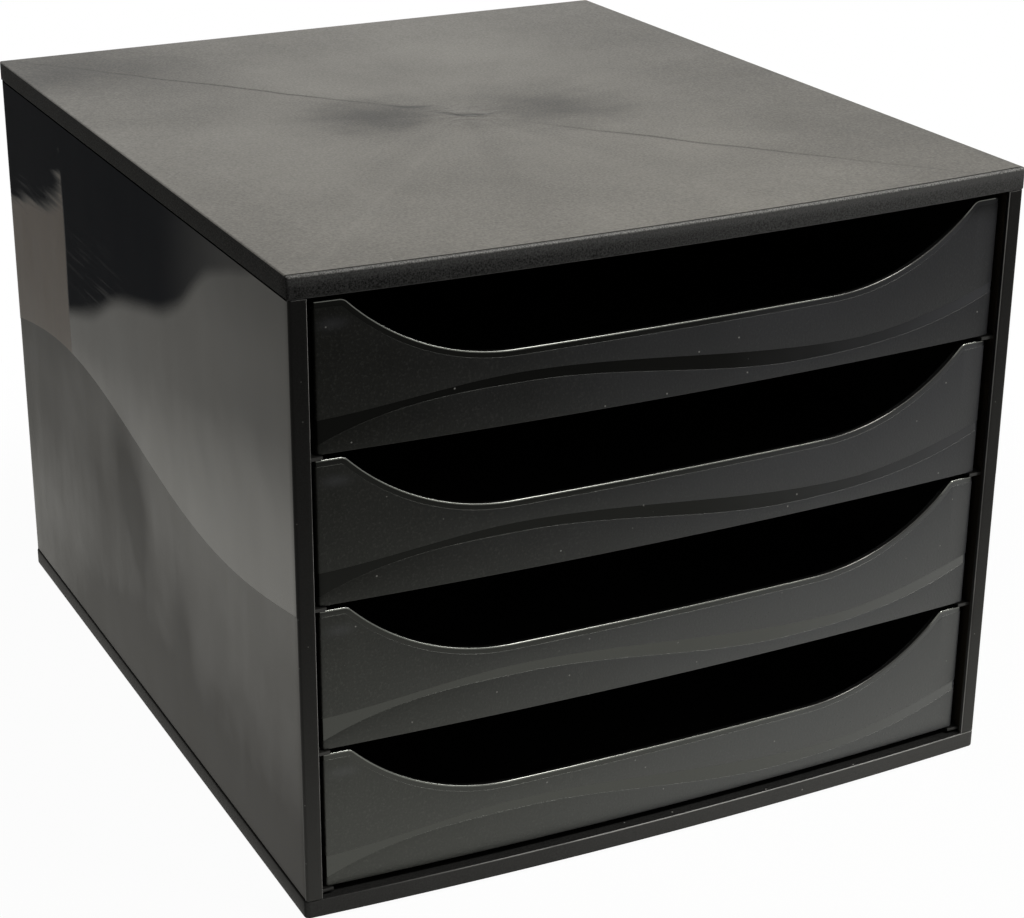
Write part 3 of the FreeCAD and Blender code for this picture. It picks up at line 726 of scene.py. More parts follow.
def makeSideTabs(name, side, finish):
    # the tongue that goes up into the lid and the tabs that go down through the base
    shell = Shell()
    tongueOuter = caseHalfWidth - plates["skirt"] - case["fitGap"]
    pieces = [(sideInner, tongueOuter, bandBack + tabs["tongueInset"], returnFront - tabs["tongueInset"],
               lidBottom - tabs["root"], lidBottom + tabs["tongueHeight"])]
    for start in tabStarts(bandBack, returnFront, tabs["sideCount"]):
        pieces.append((sideInner, sideInner + tabs["wall"], start, start + tabs["length"],
                       baseTop - tabs["reach"], baseTop + tabs["root"]))
    for x0, x1, y0, y1, z0, z1 in pieces:
        low, high = sorted((side * x0, side * x1))
        shell.block((low, y0, z0), (high, y1, z1), tabs["chamfer"])
    return shell.finished(name, [finish])


def makeBack(finish):
    low, high = backLow, backHigh
    shell = Shell()
    shell.block((low.x, low.y, baseTop), (high.x, high.y, lidBottom), walls["backChamfer"])
    inset = tabs["tongueInset"]
    shell.block((low.x + inset, low.y, lidBottom - tabs["root"]),
                (high.x - inset, high.y, lidBottom + tabs["tongueHeight"]), tabs["chamfer"])
    for start in tabStarts(low.x, high.x, tabs["backCount"]):
        shell.block((start, high.y - tabs["wall"], baseTop - tabs["reach"]),
                    (start + tabs["length"], high.y, baseTop + tabs["root"]), tabs["chamfer"])
    return shell.finished("backPanel", [finish])


# drawers: a bowed front with a finger cut-out and two waves, and an open tray behind it

drawer = {
    "clearance": 2.3 * mm,     # from the case's front bands
    "frontRecess": 3.5 * mm,
    "frontWall": 2.2 * mm,
    "wallRound": 0.3 * mm,     # along the front's inner edges
    "wallSteps": 2,
    "cornerRound": 1.4 * mm,
    "cornerSteps": 7,
    "endBreak": 0.35 * mm,
    "endSteps": 3,
    "overlap": 0.1 * mm,       # of the tray into the front
    "trayFront": -150 * mm,    # where the tray's straight part begins
    "trayWall": 1.8 * mm,
    "trayDrop": 1.8 * mm,
    "trayRound": 0.6 * mm,
    "traySteps": 4,
    "brimRound": 0.45 * mm,
    "brimSteps": 3,
    "innerRound": 1.6 * mm,
    "innerSteps": 5,
    "trayLengths": 6,          # how many pieces the tray's straight part is cut into
    "rearOverlap": 0.3 * mm,   # of the tray's sides into its rear wall
    "cutDepth": 25.8 * mm,
    "cutHalfFlat": 62.0 * mm,
    "cutRadius": 84.0 * mm,
    "cutRound": 4.0 * mm,
    "closeColumns": (-4.5 * mm, 0.5 * mm, 14),       # round the cut-out's shoulders
    "closeGap": 0.7 * mm,
    "stripWidth": 2.3 * mm,
    "relief": 0.09 * mm,       # of the strip and of the band between the waves
    "stepWidth": 0.09 * mm,
    "stepShape": ((-1.0, 0.0), (-0.4, 0.12), (0.0, 0.5), (0.5, 1.0)),     # shares of width and relief
    "rimRound": 0.55 * mm,
    "rimSteps": 5,
    "columns": 190,
    # knots of the waves: distance from the middle, height and slope there
    "upperWave": ((-134.0, 12.06, 0.04), (-59.2, 18.28, 0.0), (70.0, 9.34, 0.0), (134.0, 20.91, 0.28)),
    "lowerWave": ((-134.0, 2.80, 0.46), (-57.5, 14.64, 0.0), (50.4, 4.79, 0.0), (134.0, 17.66, 0.41)),
}
drawerParts = ("grain", "smooth", "tray", "rim", "strip")
grainFace, smoothFace, trayFace, rimFace, stripFace = range(len(drawerParts))
# the cut-out's sweep meets its shoulder at this height over the sweep's centre, this far out
cutRise = drawer["cutDepth"] - drawer["cutRound"] - drawer["cutRadius"]
cutReach = math.sqrt((drawer["cutRadius"] + drawer["cutRound"]) ** 2 - cutRise ** 2)
shoulder = drawer["cutHalfFlat"] + cutReach
stops = {
    "outer": sideInner - 1.3 * mm,
    "front": bandBack + drawerTravel + 0.05 * mm,      # just clear of the side's band at full travel
    "length": 5.95 * mm,
    "lift": 20.0 * mm,
    "height": 12.0 * mm,
    "chamfer": 0.3 * mm,
}


def waveHeight(knots, x):
    # a smooth curve through the knots
    x = x / mm
    for (x0, z0, slope0), (x1, z1, slope1) in zip(knots, knots[1:]):
        if x <= x1:
            break
    t, span = (x - x0) / (x1 - x0), x1 - x0
    height = ((2 * t ** 3 - 3 * t ** 2 + 1) * z0 + (t ** 3 - 2 * t ** 2 + t) * span * slope0
              + (3 * t ** 2 - 2 * t ** 3) * z1 + (t ** 3 - t ** 2) * span * slope1)
    return height * mm


def cutEdge(x, frontHeight, inset):
    # height of the cut-out's edge, moved square to itself by inset, and its slope
    across = abs(x) - drawer["cutHalfFlat"]
    radius, rounding = drawer["cutRadius"] + inset, drawer["cutRound"] - inset
    floor = frontHeight - drawer["cutDepth"]
    if across <= 0:
        return floor - inset, 0.0
    if across <= radius * math.cos(math.atan2(cutRise, cutReach)):
        drop = math.sqrt(radius ** 2 - across ** 2)
        return floor + drawer["cutRadius"] - drop, across / drop
    if abs(x) < shoulder:
        across = shoulder - abs(x)
        drop = math.sqrt(max(rounding ** 2 - across ** 2, 0.0))
        # the slope ends at 45 degrees, where the rounding would stand upright
        return frontHeight - drawer["cutRound"] + drop, across / max(drop, across)
    return frontHeight - inset, 0.0


def frontColumns(halfWidth):
    # where the front is cut into columns: closer where the edge turns and at the corners
    rounding, steps = drawer["cornerRound"], drawer["cornerSteps"]
    columns = spaced(-halfWidth + rounding, halfWidth - rounding, drawer["columns"])
    ends = [halfWidth - rounding * (1 - math.sin(math.pi / 2 * step / steps)) for step in range(1, steps + 1)]
    start, end, count = drawer["closeColumns"]
    closer = spaced(shoulder + start, shoulder + end, count)
    gap = drawer["closeGap"]
    columns = [x for x in columns if not closer[0] - gap < abs(x) < closer[-1] + gap]
    columns += closer + [-x for x in closer] + ends + [-x for x in ends]
    return sorted(columns)


def reliefStep(height, finish, falling=1):
    # the rows of a small step at a height, going in as it rises or, with -1, coming out again
    rows = [(height + falling * across * drawer["stepWidth"], drawer["relief"] * down, grainFace)
            for across, down in drawer["stepShape"][::falling]]
    return rows[:-1] + [(*rows[-1][:2], finish)]


def frontSection(x, halfWidth, frontHeight):
    # one column's closed outline as (height, depth, finish of the band up to the next point)
    rounding = drawer["cornerRound"]
    over = max(abs(x) - (halfWidth - rounding), 0.0)
    pulled = rounding - math.sqrt(max(rounding ** 2 - over ** 2, 0.0))
    top, slope = cutEdge(x, frontHeight, 0.0)
    lean = math.sqrt(1 + slope * slope)
    strip, _ = cutEdge(x, frontHeight, drawer["stripWidth"])
    wall, edge, rim, inner = (drawer[name] for name in ("frontWall", "endBreak", "rimRound", "wallRound"))
    rows = [(edge * (1 - up), edge * inward, grainFace)
            for inward, up in reversed(quarter(drawer["endSteps"]))]
    rows += reliefStep(waveHeight(drawer["lowerWave"], x), smoothFace)
    rows += reliefStep(waveHeight(drawer["upperWave"], x), grainFace, -1)
    rows += reliefStep(strip, stripFace)
    rows += [(top - rim * lean * (1 - up), drawer["relief"] + rim * inward, rimFace)
             for inward, up in quarter(drawer["rimSteps"])]
    rows += [(top - inner * lean * (1 - up), wall - inner * inward, smoothFace)
             for inward, up in reversed(quarter(drawer["wallSteps"]))]
    rows += [(inner, wall, smoothFace), (0.0, wall - inner, smoothFace)]
    innermost = wall - inner
    tiny = 0.01 * mm
    return [(z, min(depth + pulled, innermost) if depth < innermost - tiny else depth, finish)
            for z, depth, finish in rows]


def addFront(shell, middle, base, halfWidth, frontHeight):
    recess = drawer["frontRecess"]
    loops, bands = [], []
    for x in frontColumns(halfWidth):
        section = frontSection(x, halfWidth, frontHeight)
        loops.append([shell.add((middle + x, bowY(x, recess + depth), base + z))
                      for z, depth, _ in section])
        bands.append([finish for _, _, finish in section])
    for first, second, finishes in zip(loops, loops[1:], bands):
        shell.bridge(first, second, finishes)
    shell.face(loops[0][::-1])
    shell.face(loops[-1])


def trayProfile(halfWidth, height):
    # the tray's section seen from the front, a closed outline of (across, height)
    wall, inner, brim, under = (drawer[name] for name in ("trayWall", "innerRound", "brimRound", "trayRound"))
    brimSteps = drawer["brimSteps"]
    half = [(0.0, 0.0), (halfWidth - under, 0.0)]
    half += arcPoints((halfWidth - under, under), under, -90, 0, drawer["traySteps"])[1:]
    half += arcPoints((halfWidth - brim, height - brim), brim, 0, 90, brimSteps)
    half += arcPoints((halfWidth - wall + brim, height - brim), brim, 90, 180, brimSteps)
    half += arcPoints((halfWidth - wall - inner, wall + inner), inner, 0, -90, drawer["innerSteps"])
    half.append((0.0, wall))
    return half + [(-x, z) for x, z in reversed(half[1:-1])]


def makeDrawer(number, finishes):
    low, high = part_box("drawer_%d" % number)
    halfWidth = bandInner - drawer["clearance"]
    middle, base = (low.x + high.x) / 2, low.z
    frontHeight = high.z - low.z
    trayHeight, trayBack = frontHeight - drawer["trayDrop"], high.y - drawer["trayWall"]
    shell = Shell()
    addFront(shell, middle, base, halfWidth, frontHeight)
    profile = trayProfile(halfWidth, trayHeight)
    butt = drawer["frontRecess"] + drawer["frontWall"] - drawer["overlap"]
    stations = [[shell.add((middle + x, bowY(x, butt), base + z)) for x, z in profile]]
    for y in spaced(drawer["trayFront"], trayBack + drawer["rearOverlap"], drawer["trayLengths"]):
        stations.append([shell.add((middle + x, y, base + z)) for x, z in profile])
    shell.stack(stations, trayFace)
    shell.block((middle - halfWidth, trayBack, base), (middle + halfWidth, high.y, base + trayHeight),
                drawer["brimRound"], trayFace)
    front, bottom = stops["front"], base + stops["lift"]
    for side in (-1, 1):
        start, end = sorted((side * (halfWidth - drawer["trayWall"] / 2), side * stops["outer"]))
        shell.block((middle + start, front, bottom),
                    (middle + end, front + stops["length"], bottom + stops["height"]),
                    stops["chamfer"], trayFace)
    return shell.finished("drawer%d" % number, finishes)


# shader maths: a socket that takes arithmetic, and one method for every other node

class Signal:
    def __init__(self, shading, socket):
        self.shading = shading
        self.socket = socket

    def maths(self, operation, other, swapped=False):
        first, second = (other, self) if swapped else (self, other)
        return self.shading.node("ShaderNodeMath", {0: first, 1: second}, operation=operation)

    def __add__(self, other):
        return self.maths("ADD", other)

    def __radd__(self, other):
        return self.maths("ADD", other, True)

    def __sub__(self, other):
        return self.maths("SUBTRACT", other)

    def __rsub__(self, other):
        return self.maths("SUBTRACT", other, True)

    def __mul__(self, other):
        return self.maths("MULTIPLY", other)

    def __rmul__(self, other):
        return self.maths("MULTIPLY", other, True)

    def __truediv__(self, other):
        return self.maths("DIVIDE", other)

    def __rtruediv__(self, other):
        return self.maths("DIVIDE", other, True)

    def __pow__(self, other):
        return self.maths("POWER", other)

    def __rpow__(self, other):
        return self.maths("POWER", other, True)

    def bigger(self, other):
        return self.maths("MAXIMUM", other)

    def sine(self):
        return self.maths("SINE", 0.0)

    def ramp(self, start, end):
        # 0 at start, 1 at end, smooth between
        return self.shading.node("ShaderNodeMapRange", {"Value": self, "From Min": start, "From Max": end},
                                 interpolation_type="SMOOTHSTEP")

    def window(self, start, full, fading, end):
        # 1 from full to fading, 0 before start and past end
        return self.ramp(start, full) * (1 - self.ramp(fading, end))

    def bell(self, width):
        # 1 where the signal is 0, fading to nothing over the width
        return math.e ** (0.0 - (self / width) ** 2)


def spaces(values):
    # Base_Color is the input Base Color
    return {label.replace("_", " "): value for label, value in values.items()}


class Shading:
    # makes the nodes of one tree
    def __init__(self, tree):
        self.tree = tree

    def plug(self, socket, value):
        if isinstance(value, Signal):
            self.tree.links.new(value.socket, socket)
        elif isinstance(value, (tuple, list)) and len(value) == 3 and socket.type == "RGBA":
            socket.default_value = (*value, 1.0)
        else:
            socket.default_value = value

    def node(self, kind, values, output=0, **settings):
        made = self.tree.nodes.new(kind)
        for key, setting in settings.items():
            setattr(made, key, setting)
        for key, value in values.items():
            self.plug(made.inputs[key], value)
        return Signal(self, made.outputs[output])

    def split(self, vector, axis):
        return self.node("ShaderNodeSeparateXYZ", {0: vector}, axis)

    def ray(self, kind):
        # 1 for light of this kind
        return self.node("ShaderNodeLightPath", {}, "Is %s Ray" % kind)

    def seen(self):
        # 1 for what is seen straight, mirrored or through
        return self.ray("Camera").bigger(self.ray("Glossy")).bigger(self.ray("Transmission"))


class Paint(Shading):
    def __init__(self, name):
        self.material = bpy.data.materials.new(name)
        self.material.use_nodes = True
        super().__init__(self.material.node_tree)
        self.shader = self.tree.nodes["Principled BSDF"]
        self.surface = self.tree.nodes["Material Output"].inputs["Surface"]
        self.place = self.node("ShaderNodeTexCoord", {}, "Object")
        self.x, self.y, self.z = (self.split(self.place, axis) for axis in range(3))

    def noise(self, size, detail=2.0, roughness=0.5, place=None, warp=0.0):
        return self.node("ShaderNodeTexNoise", {
            "Vector": place or self.place, "Scale": 1 / size, "Detail": detail,
            "Roughness": roughness, "Distortion": warp})

    def stretched(self, scale, turn=(0.0, 0.0, 0.0)):
        # the place, turned and squeezed along the axes
        return self.node("ShaderNodeMapping", {"Vector": self.place, "Rotation": turn, "Scale": scale})

    def blend(self, factor, first, second):
        return self.node("ShaderNodeMix", {0: factor, 6: first, 7: second}, 2, data_type="RGBA")

    def bump(self, height, distance, strength=1.0, below=None):
        values = {"Height": height, "Distance": distance, "Strength": strength}
        if below:
            values["Normal"] = below
        return self.node("ShaderNodeBump", values)

    def set(self, **values):
        for label, value in spaces(values).items():
            self.plug(self.shader.inputs[label], value)

    def cover(self, factor, **values):
        # a second finish over the first where the factor is 1
        under = Signal(self, self.surface.links[0].from_socket)
        self.mix(factor, under, self.node("ShaderNodeBsdfPrincipled", spaces(values)))

    def mix(self, factor, first, second):
        self.plug(self.surface, self.node("ShaderNodeMixShader", {0: factor, 1: first, 2: second}))

    def facing(self, axis):
        # how far the surface turns to an axis, -1 to 1
        return self.split(self.node("ShaderNodeNewGeometry", {}, "Normal"), axis)

    def forward(self, start, full):
        # 1 where the surface faces the front
        return (0 - self.facing(1)).ramp(start, full)

    def spot(self, across, along, width, ripple=0.0):
        # a soft round spot where both distances are 0, its edge moved in and out by the ripple
        away = (across ** 2 + along ** 2) ** 0.5
        return (away + ripple).bell(width)

    def specks(self, size, share):
        # small round dust specks: 1 inside a speck
        cell = {"Vector": self.place, "Scale": 1 / size, "Randomness": 1.0}
        near = self.node("ShaderNodeTexVoronoi", cell, "Distance")
        pick = self.node("ShaderNodeSeparateColor", {0: self.node("ShaderNodeTexVoronoi", cell, "Color")})
        return (1 - near.ramp(0.05, 0.10)) * pick.ramp(1 - share, 1 - share + 0.01)

    def dusted(self, size, share, where=1.0):
        # pale dust over everything set so far
        self.cover(self.specks(size, share) * where, Base_Color=dustColour, Roughness=0.8,
                   Specular_IOR_Level=0.2)


# finishes: black moulded plastic in several states of grain and polish

warmGloss = (1.0, 0.99, 0.93)
dustColour = (0.30, 0.30, 0.29)

lidLook = {
    "dark": (0.008, 0.008, 0.008),
    "light": (0.100, 0.087, 0.060),
    "tone": 0.53,                      # the face's level between dark and light
    "roughness": 0.40,
    "specular": 0.22,
    "coat": 0.85,
    "coatRoughness": 0.32,
    "edgeDark": (0.003, 0.003, 0.003),
    "edgeLight": (0.112, 0.113, 0.114),
    "edgeSpecular": 0.02,
    "lowerEdgeHighlight": 7.5 * mm,              # below the top, where a painted highlight along the lower edge begins
    "grain": 0.95 * mm,
    "grainHeight": 0.060 * mm,
    "gate": (-4.0 * mm, -4.0 * mm),
    "flowDark": (0.780, 0.620),        # square to the line from the back left to the front right
    "flowLight": (0.770, -0.640),
    "flowWidth": 1.0 * mm,
    # across, along, width and strength of the smudges, and the darker corner at the back left
    "smudges": ((-36.0 * mm, 8.0 * mm, 23.0 * mm, 1.0), (31.0 * mm, -6.0 * mm, 28.0 * mm, 0.72)),
    "corner": (-128.0 * mm, 140.0 * mm, 62.0 * mm),
    # short sunk arcs beside the gate: across, along and reach
    "scars": ((-4.0 * mm, -4.0 * mm, 9.0 * mm), (-18.0 * mm, 17.0 * mm, 7.0 * mm)),
    "scarWay": (0.87, -0.49),
    "scarWidth": 1.5 * mm,
    "swirl": 15.0 * mm,
    "dent": 0.8 * mm,
    "rollDark": (0.060, 0.060, 0.060),
    "rollLight": (0.240, 0.240, 0.236),
}


def lidFlow(paint, across, along, away):
    # the dark and the light line that leave the gate
    look = lidLook
    wander = (paint.noise(30 * mm, 3.0) - 0.5) * 5 * mm
    dark = (across * look["flowDark"][0] + along * look["flowDark"][1] + wander).bell(look["flowWidth"])
    dark = dark * away.ramp(16 * mm, 85 * mm) * (1 - away.ramp(70 * mm, 190 * mm) * 0.8)
    light = (across * look["flowLight"][0] + along * look["flowLight"][1] + wander * 0.6).bell(
        look["flowWidth"] * 1.3)
    return dark, light * along.ramp(-20 * mm, -60 * mm) * across.ramp(0.0, -20 * mm)


def lidMarks(paint, ripple):
    # smudges, scars and the darker corner
    look = lidLook
    smudges = sum(paint.spot(paint.x - x, paint.y - y, width, ripple) * strength
                  for x, y, width, strength in look["smudges"])
    scars = 0.0
    wayX, wayY = look["scarWay"]
    for x, y, reach in look["scars"]:
        run = (paint.x - x) * wayX + (paint.y - y) * wayY
        rise = (paint.y - y) * wayX - (paint.x - x) * wayY - run * run / (reach * 4)
        scars = rise.bell(look["scarWidth"]) * run.bell(reach) + scars
    x, y, width = look["corner"]
    corner = paint.spot(paint.x - x, paint.y - y, width, ripple)
    return smudges * 0.48 + scars * 0.55 + corner * 0.42


def lidFront(paint, fine, edgeGrain):
    # a painted highlight on the roll in front, and painted shade in the groove behind it
    look, groove = lidLook, plates["lidGroove"]
    setback = paint.y - caseFront - paint.x ** 2 / (2 * bowRadius)
    rollEnd = plates["lidFrontRoll"]
    grooveEnd = rollEnd + groove[2][1]
    # painted highlight: the roll is painted pale where its gloss would catch the light
    wearAndSheen = (rollEnd - setback).ramp(-0.05 * mm, 0.05 * mm) * paint.facing(2).ramp(0.04, 0.30)
    paint.cover(wearAndSheen, Base_Color=paint.blend(fine.ramp(0.3, 0.7), look["rollDark"], look["rollLight"]),
                Roughness=0.36, Specular_IOR_Level=0.3, Normal=edgeGrain)
    # painted shade: the groove behind the roll is painted near black, wider than its recess
    sunk = setback.window(rollEnd, rollEnd + 0.1 * mm, grooveEnd + 0.2 * mm, grooveEnd + 0.9 * mm)
    paint.cover(sunk * 0.9, Base_Color=look["edgeDark"], Roughness=0.6, Specular_IOR_Level=0.05)


def lidFinish():
    # grained plastic with the flow lines that leave the gate in the middle
    look = lidLook
    paint = Paint("lidFinish")
    patches = paint.noise(60 * mm, 4.0, 0.55)
    mottle = paint.noise(7 * mm, 3.0, 0.6)
    grain = paint.noise(look["grain"], 2.0, 0.6)
    fine = paint.noise(look["grain"] * 0.6, 2.0, 0.6)
    across, along = paint.x - look["gate"][0], paint.y - look["gate"][1]
    away = (across ** 2 + along ** 2) ** 0.5
    rays = paint.node("ShaderNodeVectorMath", {0: paint.node("ShaderNodeCombineXYZ", {0: across, 1: along})},
                      operation="NORMALIZE")
    spokes = paint.noise(0.45, 3.0, 0.6, place=rays)
    darkFlow, lightFlow = lidFlow(paint, across, along, away)
    ripple = (paint.noise(14 * mm, 3.0, 0.6) - 0.5) * 26 * mm
    scuffs = paint.noise(9 * mm, 2.0, 0.5, place=paint.stretched((1.0, 0.06, 1.0), (0.0, 0.0, 0.9)))
    # the tone also falls off toward the right: a painted falloff of the top's sheen
    tone = (look["tone"] + (patches - 0.5) * 0.45 + (spokes - 0.5) * 0.30 + (mottle - 0.5) * 0.14
            + (grain - 0.5) * 0.80 + lightFlow * 0.06 + scuffs.ramp(0.66, 0.80) * 0.05
            - darkFlow * 0.28 - lidMarks(paint, ripple) - paint.x.ramp(40 * mm, 150 * mm) * 0.20)
    swirl = (away + ripple * 0.5).bell(look["swirl"]) * paint.noise(9 * mm, 1.0, 0.4, warp=1.2)
    dent = paint.bump(swirl - darkFlow * 0.15, look["dent"])
    roll = paint.facing(2).window(0.15, 0.40, 0.88, 0.97) * paint.forward(0.2, 0.5)
    paint.set(Base_Color=paint.blend(tone, look["dark"], look["light"]),
              Roughness=look["roughness"] + (mottle - 0.5) * 0.10 + darkFlow * 0.1,
              Specular_IOR_Level=look["specular"], Coat_Roughness=look["coatRoughness"],
              Coat_Weight=(tone.ramp(-0.1, 1.1) * look["coat"]).bigger(roll),
              Normal=paint.bump(grain, look["grainHeight"], below=dent))
    edgeGrain = paint.bump(fine, look["grainHeight"])
    lidFront(paint, fine, edgeGrain)
    paint.dusted(5 * mm, 0.05)
    # painted light: the lid's front face is painted paler, brighter to the right, with painted highlights
    # near the top and along the lower edge
    line = (cadHigh.z - look["lowerEdgeHighlight"] - paint.z).ramp(0.0, 0.2 * mm)
    paintedFrontLight = (0.20 + paint.x.ramp(-140 * mm, 130 * mm) * 0.36 + paint.z.ramp(231 * mm, 235 * mm) * 0.40
             + line * 0.4)
    edgeTone = 0.10 + (fine - 0.5) * 1.4 + paint.forward(0.2, 0.8) * paintedFrontLight
    paint.cover(1 - paint.facing(2).ramp(0.05, 0.30),
                Base_Color=paint.blend(edgeTone, look["edgeDark"], look["edgeLight"]),
                Roughness=0.42 + (mottle - 0.5) * 0.1,
                Specular_IOR_Level=look["edgeSpecular"],
                Normal=edgeGrain)
    return paint.material


sideLook = {
    "dark": (0.0045, 0.0048, 0.0055),
    "light": (0.026, 0.0205, 0.0135),
    "roughness": 0.05,
    "specular": 0.41,
    "grain": 0.5 * mm,
    "cloud": 70.0 * mm,
    "sway": (55.0 * mm, 0.5 * mm),     # size and height of the panel's unevenness
    # the painted dark reflection ends along a slanting line: rise to the back and height at the middle
    "reflectionDark": (0.0320, 0.0365, 0.0460),
    "reflectionLight": (0.0540, 0.0565, 0.0640),
    "reflectionFore": (0.41, 178.0 * mm),
    "reflectionAft": (0.38, 231.0 * mm),
    "reflectionDrop": 4.0 * mm,
    "aftStart": 84.0 * mm,
    "scrape": (46.0 * mm, 172.0 * mm, 36.0 * mm),
    "warmReflection": (0.120, 0.067, 0.031),
    # soft smudges under the wave: along, height, squeeze, width and strength
    "smears": ((22.0 * mm, 102.0 * mm, 1.6, 26.0 * mm, 1.0), (6.0 * mm, 84.0 * mm, 2.0, 24.0 * mm, 0.8),
               (-40.0 * mm, 60.0 * mm, 2.4, 26.0 * mm, 0.6)),
    "seamShadow": 0.65 * mm,
    "bandWrap": 1.2 * mm,              # how far the front band's finish goes round the corner
    "bandSpecular": 0.12,
    "bandDark": (0.004, 0.004, 0.004),
    "bandLight": (0.056, 0.056, 0.054),
    "edgeHighlight": (0.300, 0.300, 0.295),
}


def sideCovers(paint, wearAndSheen, clouds, streaks, wipe, sway):
    # the duller part under the wave, and on the left a painted dark reflection above and a painted warm
    # reflection behind
    look = sideLook
    onLeft = paint.x.ramp(0.1, -0.1)
    turns = (paint.y - sideSkin["wavePhase"]) * (2 * math.pi / sideSkin["waveLength"])
    wave = turns.sine() * sideSkin["waveRise"] + sideSkin["waveLevel"]
    lower = (wave - paint.z).ramp(-0.7 * mm, -0.3 * mm)
    ripple = (paint.noise(70 * mm, 1.0) - 0.5) * 30 * mm
    smears = sum(paint.spot((paint.y - y) * squeeze, paint.z - z, width, ripple) * strength
                 for y, z, squeeze, width, strength in look["smears"])
    lowDull = 0.26 + clouds * 0.36 - paint.y.ramp(40 * mm, 150 * mm) * 0.09
    dull = (lower * (0.42 + paint.y.ramp(-60 * mm, 110 * mm) * paint.z.ramp(30 * mm, 95 * mm) * 0.28)
            + (1 - paint.z.ramp(25 * mm, 150 * mm)) * lowDull
            + (1 - paint.z.ramp(5 * mm, 80 * mm)) * paint.y.ramp(150 * mm, 40 * mm) * 0.26
            + (streaks - 0.5) * 0.13 + (clouds - 0.5) * 0.25 + smears * onLeft * 0.35)
    (foreRise, foreLevel), (aftRise, aftLevel) = look["reflectionFore"], look["reflectionAft"]
    drop = paint.y.ramp(20 * mm, -30 * mm) * look["reflectionDrop"]
    fore = (paint.z + paint.y * foreRise + ripple * 0.75 + drop - foreLevel).ramp(-1.5 * mm, 7 * mm)
    aft = (paint.z + paint.y * aftRise + ripple + (wipe - 0.5) * 30 * mm - aftLevel).ramp(0.0, 14 * mm)
    past = (paint.y + ripple * 0.15).ramp(look["aftStart"], look["aftStart"] + 3 * mm)
    scratches = paint.noise(1.8 * mm, 2.0, 0.6, place=paint.stretched((1.0, 0.04, 1.0)))
    scrapeY, scrapeZ, scrapeWidth = look["scrape"]
    scrape = paint.spot(paint.y - scrapeY, (paint.z - scrapeZ) * 3, scrapeWidth) * scratches.ramp(0.50, 0.70)
    fading = paint.y.ramp(-30 * mm, -125 * mm) * 0.40
    paintedDarkReflection = (fore * (1 - past) + aft * past) * (1 - scrape * 0.16) * (1 - fading)
    # painted shade under the lid, toward the front
    paintedDarkReflection = paintedDarkReflection.bigger(paint.z.ramp(194 * mm, 230 * mm) * paint.y.ramp(-40 * mm, -100 * mm) * 0.18)
    # painted reflection: a warm brown patch behind, on the left panel only
    warmReflection = past * (1 - aft) * (1 - lower) * (0.75 + streaks * 0.3)
    paint.cover(warmReflection * onLeft * 0.86, Base_Color=look["warmReflection"], Roughness=0.25 + wearAndSheen * 0.1,
                Specular_IOR_Level=0.15, Normal=sway)
    paint.cover(dull, Base_Color=paint.blend(wearAndSheen, look["dark"], look["light"]),
                Roughness=0.3 + wearAndSheen * 0.1, Specular_IOR_Level=0.05, Normal=sway)
    # painted reflection: the dark, barely reflecting area at the top left of the left panel
    paint.cover(paintedDarkReflection * onLeft, Base_Color=paint.blend(wearAndSheen, look["reflectionDark"], look["reflectionLight"]),
                Roughness=0.12 + wearAndSheen * 0.1, Specular_IOR_Level=0.001, Normal=sway)


def sideBand(paint, grain, clouds):
    # the dull upright band in front, a painted highlight on its inner edge and the dust on it
    look = sideLook
    bandEnd = cornerFront + look["bandWrap"]
    onBand = (bandEnd - paint.y).ramp(0.0, 0.1 * mm)
    # painted light: the band is lighter toward the bottom and darker toward the top
    low = 1 - paint.z.ramp(0.0, 120 * mm)
    tone = grain * 0.3 + clouds * 0.15 + low * 0.7 - paint.z.ramp(90 * mm, 225 * mm) * 0.2
    paint.cover((bandEnd - paint.y).ramp(-0.1 * mm, 0.1 * mm).bigger(paint.forward(0.45, 0.85)),
                Base_Color=paint.blend(tone, look["bandDark"], look["bandLight"]),
                Roughness=0.34 + (clouds - 0.5) * 0.1,
                Specular_IOR_Level=look["bandSpecular"],
                Normal=paint.bump(grain, 0.018 * mm))
    # painted highlight along the band's inner edge
    inward = (0 - paint.facing(0)) * (paint.x.ramp(-0.1, 0.1) * 2 - 1)
    paint.cover(inward.window(0.25, 0.5, 0.85, 0.97) * onBand * clouds.ramp(0.25, 0.6),
                Base_Color=look["edgeHighlight"], Roughness=0.4, Specular_IOR_Level=0.3)
    paint.dusted(3 * mm, 0.22, onBand * (0.4 + low * 0.6))


def sideFinish():
    # polished outside with cloudy, streaked gloss, and a plainer finish on the band in front
    look = sideLook
    paint = Paint("sideFinish")
    clouds = paint.noise(look["cloud"], 4.0, 0.6)
    streaks = paint.noise(10 * mm, 3.0, 0.6, place=paint.stretched((1.0, 1.0, 0.16), (0.35, 0.0, 0.0)))
    wipe = paint.noise(5 * mm, 2.0, 0.6, place=paint.stretched((1.0, 0.10, 1.0), (0.45, 0.0, 0.0)))
    grain = paint.noise(look["grain"], 2.0, 0.6)
    wearAndSheen = clouds * 0.55 + streaks * 0.30 + wipe * 0.15
    swaySize, swayHeight = look["sway"]
    sway = paint.bump(paint.noise(swaySize, 2.0), swayHeight, 0.6)
    paint.set(Base_Color=paint.blend(wearAndSheen.ramp(0.30, 0.70), look["dark"], look["light"]),
              Roughness=look["roughness"] + wearAndSheen * 0.09,
              Specular_IOR_Level=look["specular"], Specular_Tint=warmGloss,
              Normal=paint.bump(grain, 0.004 * mm, below=sway))
    sideCovers(paint, wearAndSheen, clouds, streaks, wipe, sway)
    # painted shadow lines under the lid and over the base
    seamShadow = (paint.z - lidBottom + look["seamShadow"]).ramp(0.0, 0.1 * mm)
    seamShadow = seamShadow.bigger((look["seamShadow"] + baseTop - paint.z).ramp(0.0, 0.1 * mm))
    paint.cover(seamShadow, Base_Color=(0.0015, 0.0015, 0.0015), Roughness=0.8, Specular_IOR_Level=0.0)
    sideBand(paint, grain, clouds)
    return paint.material


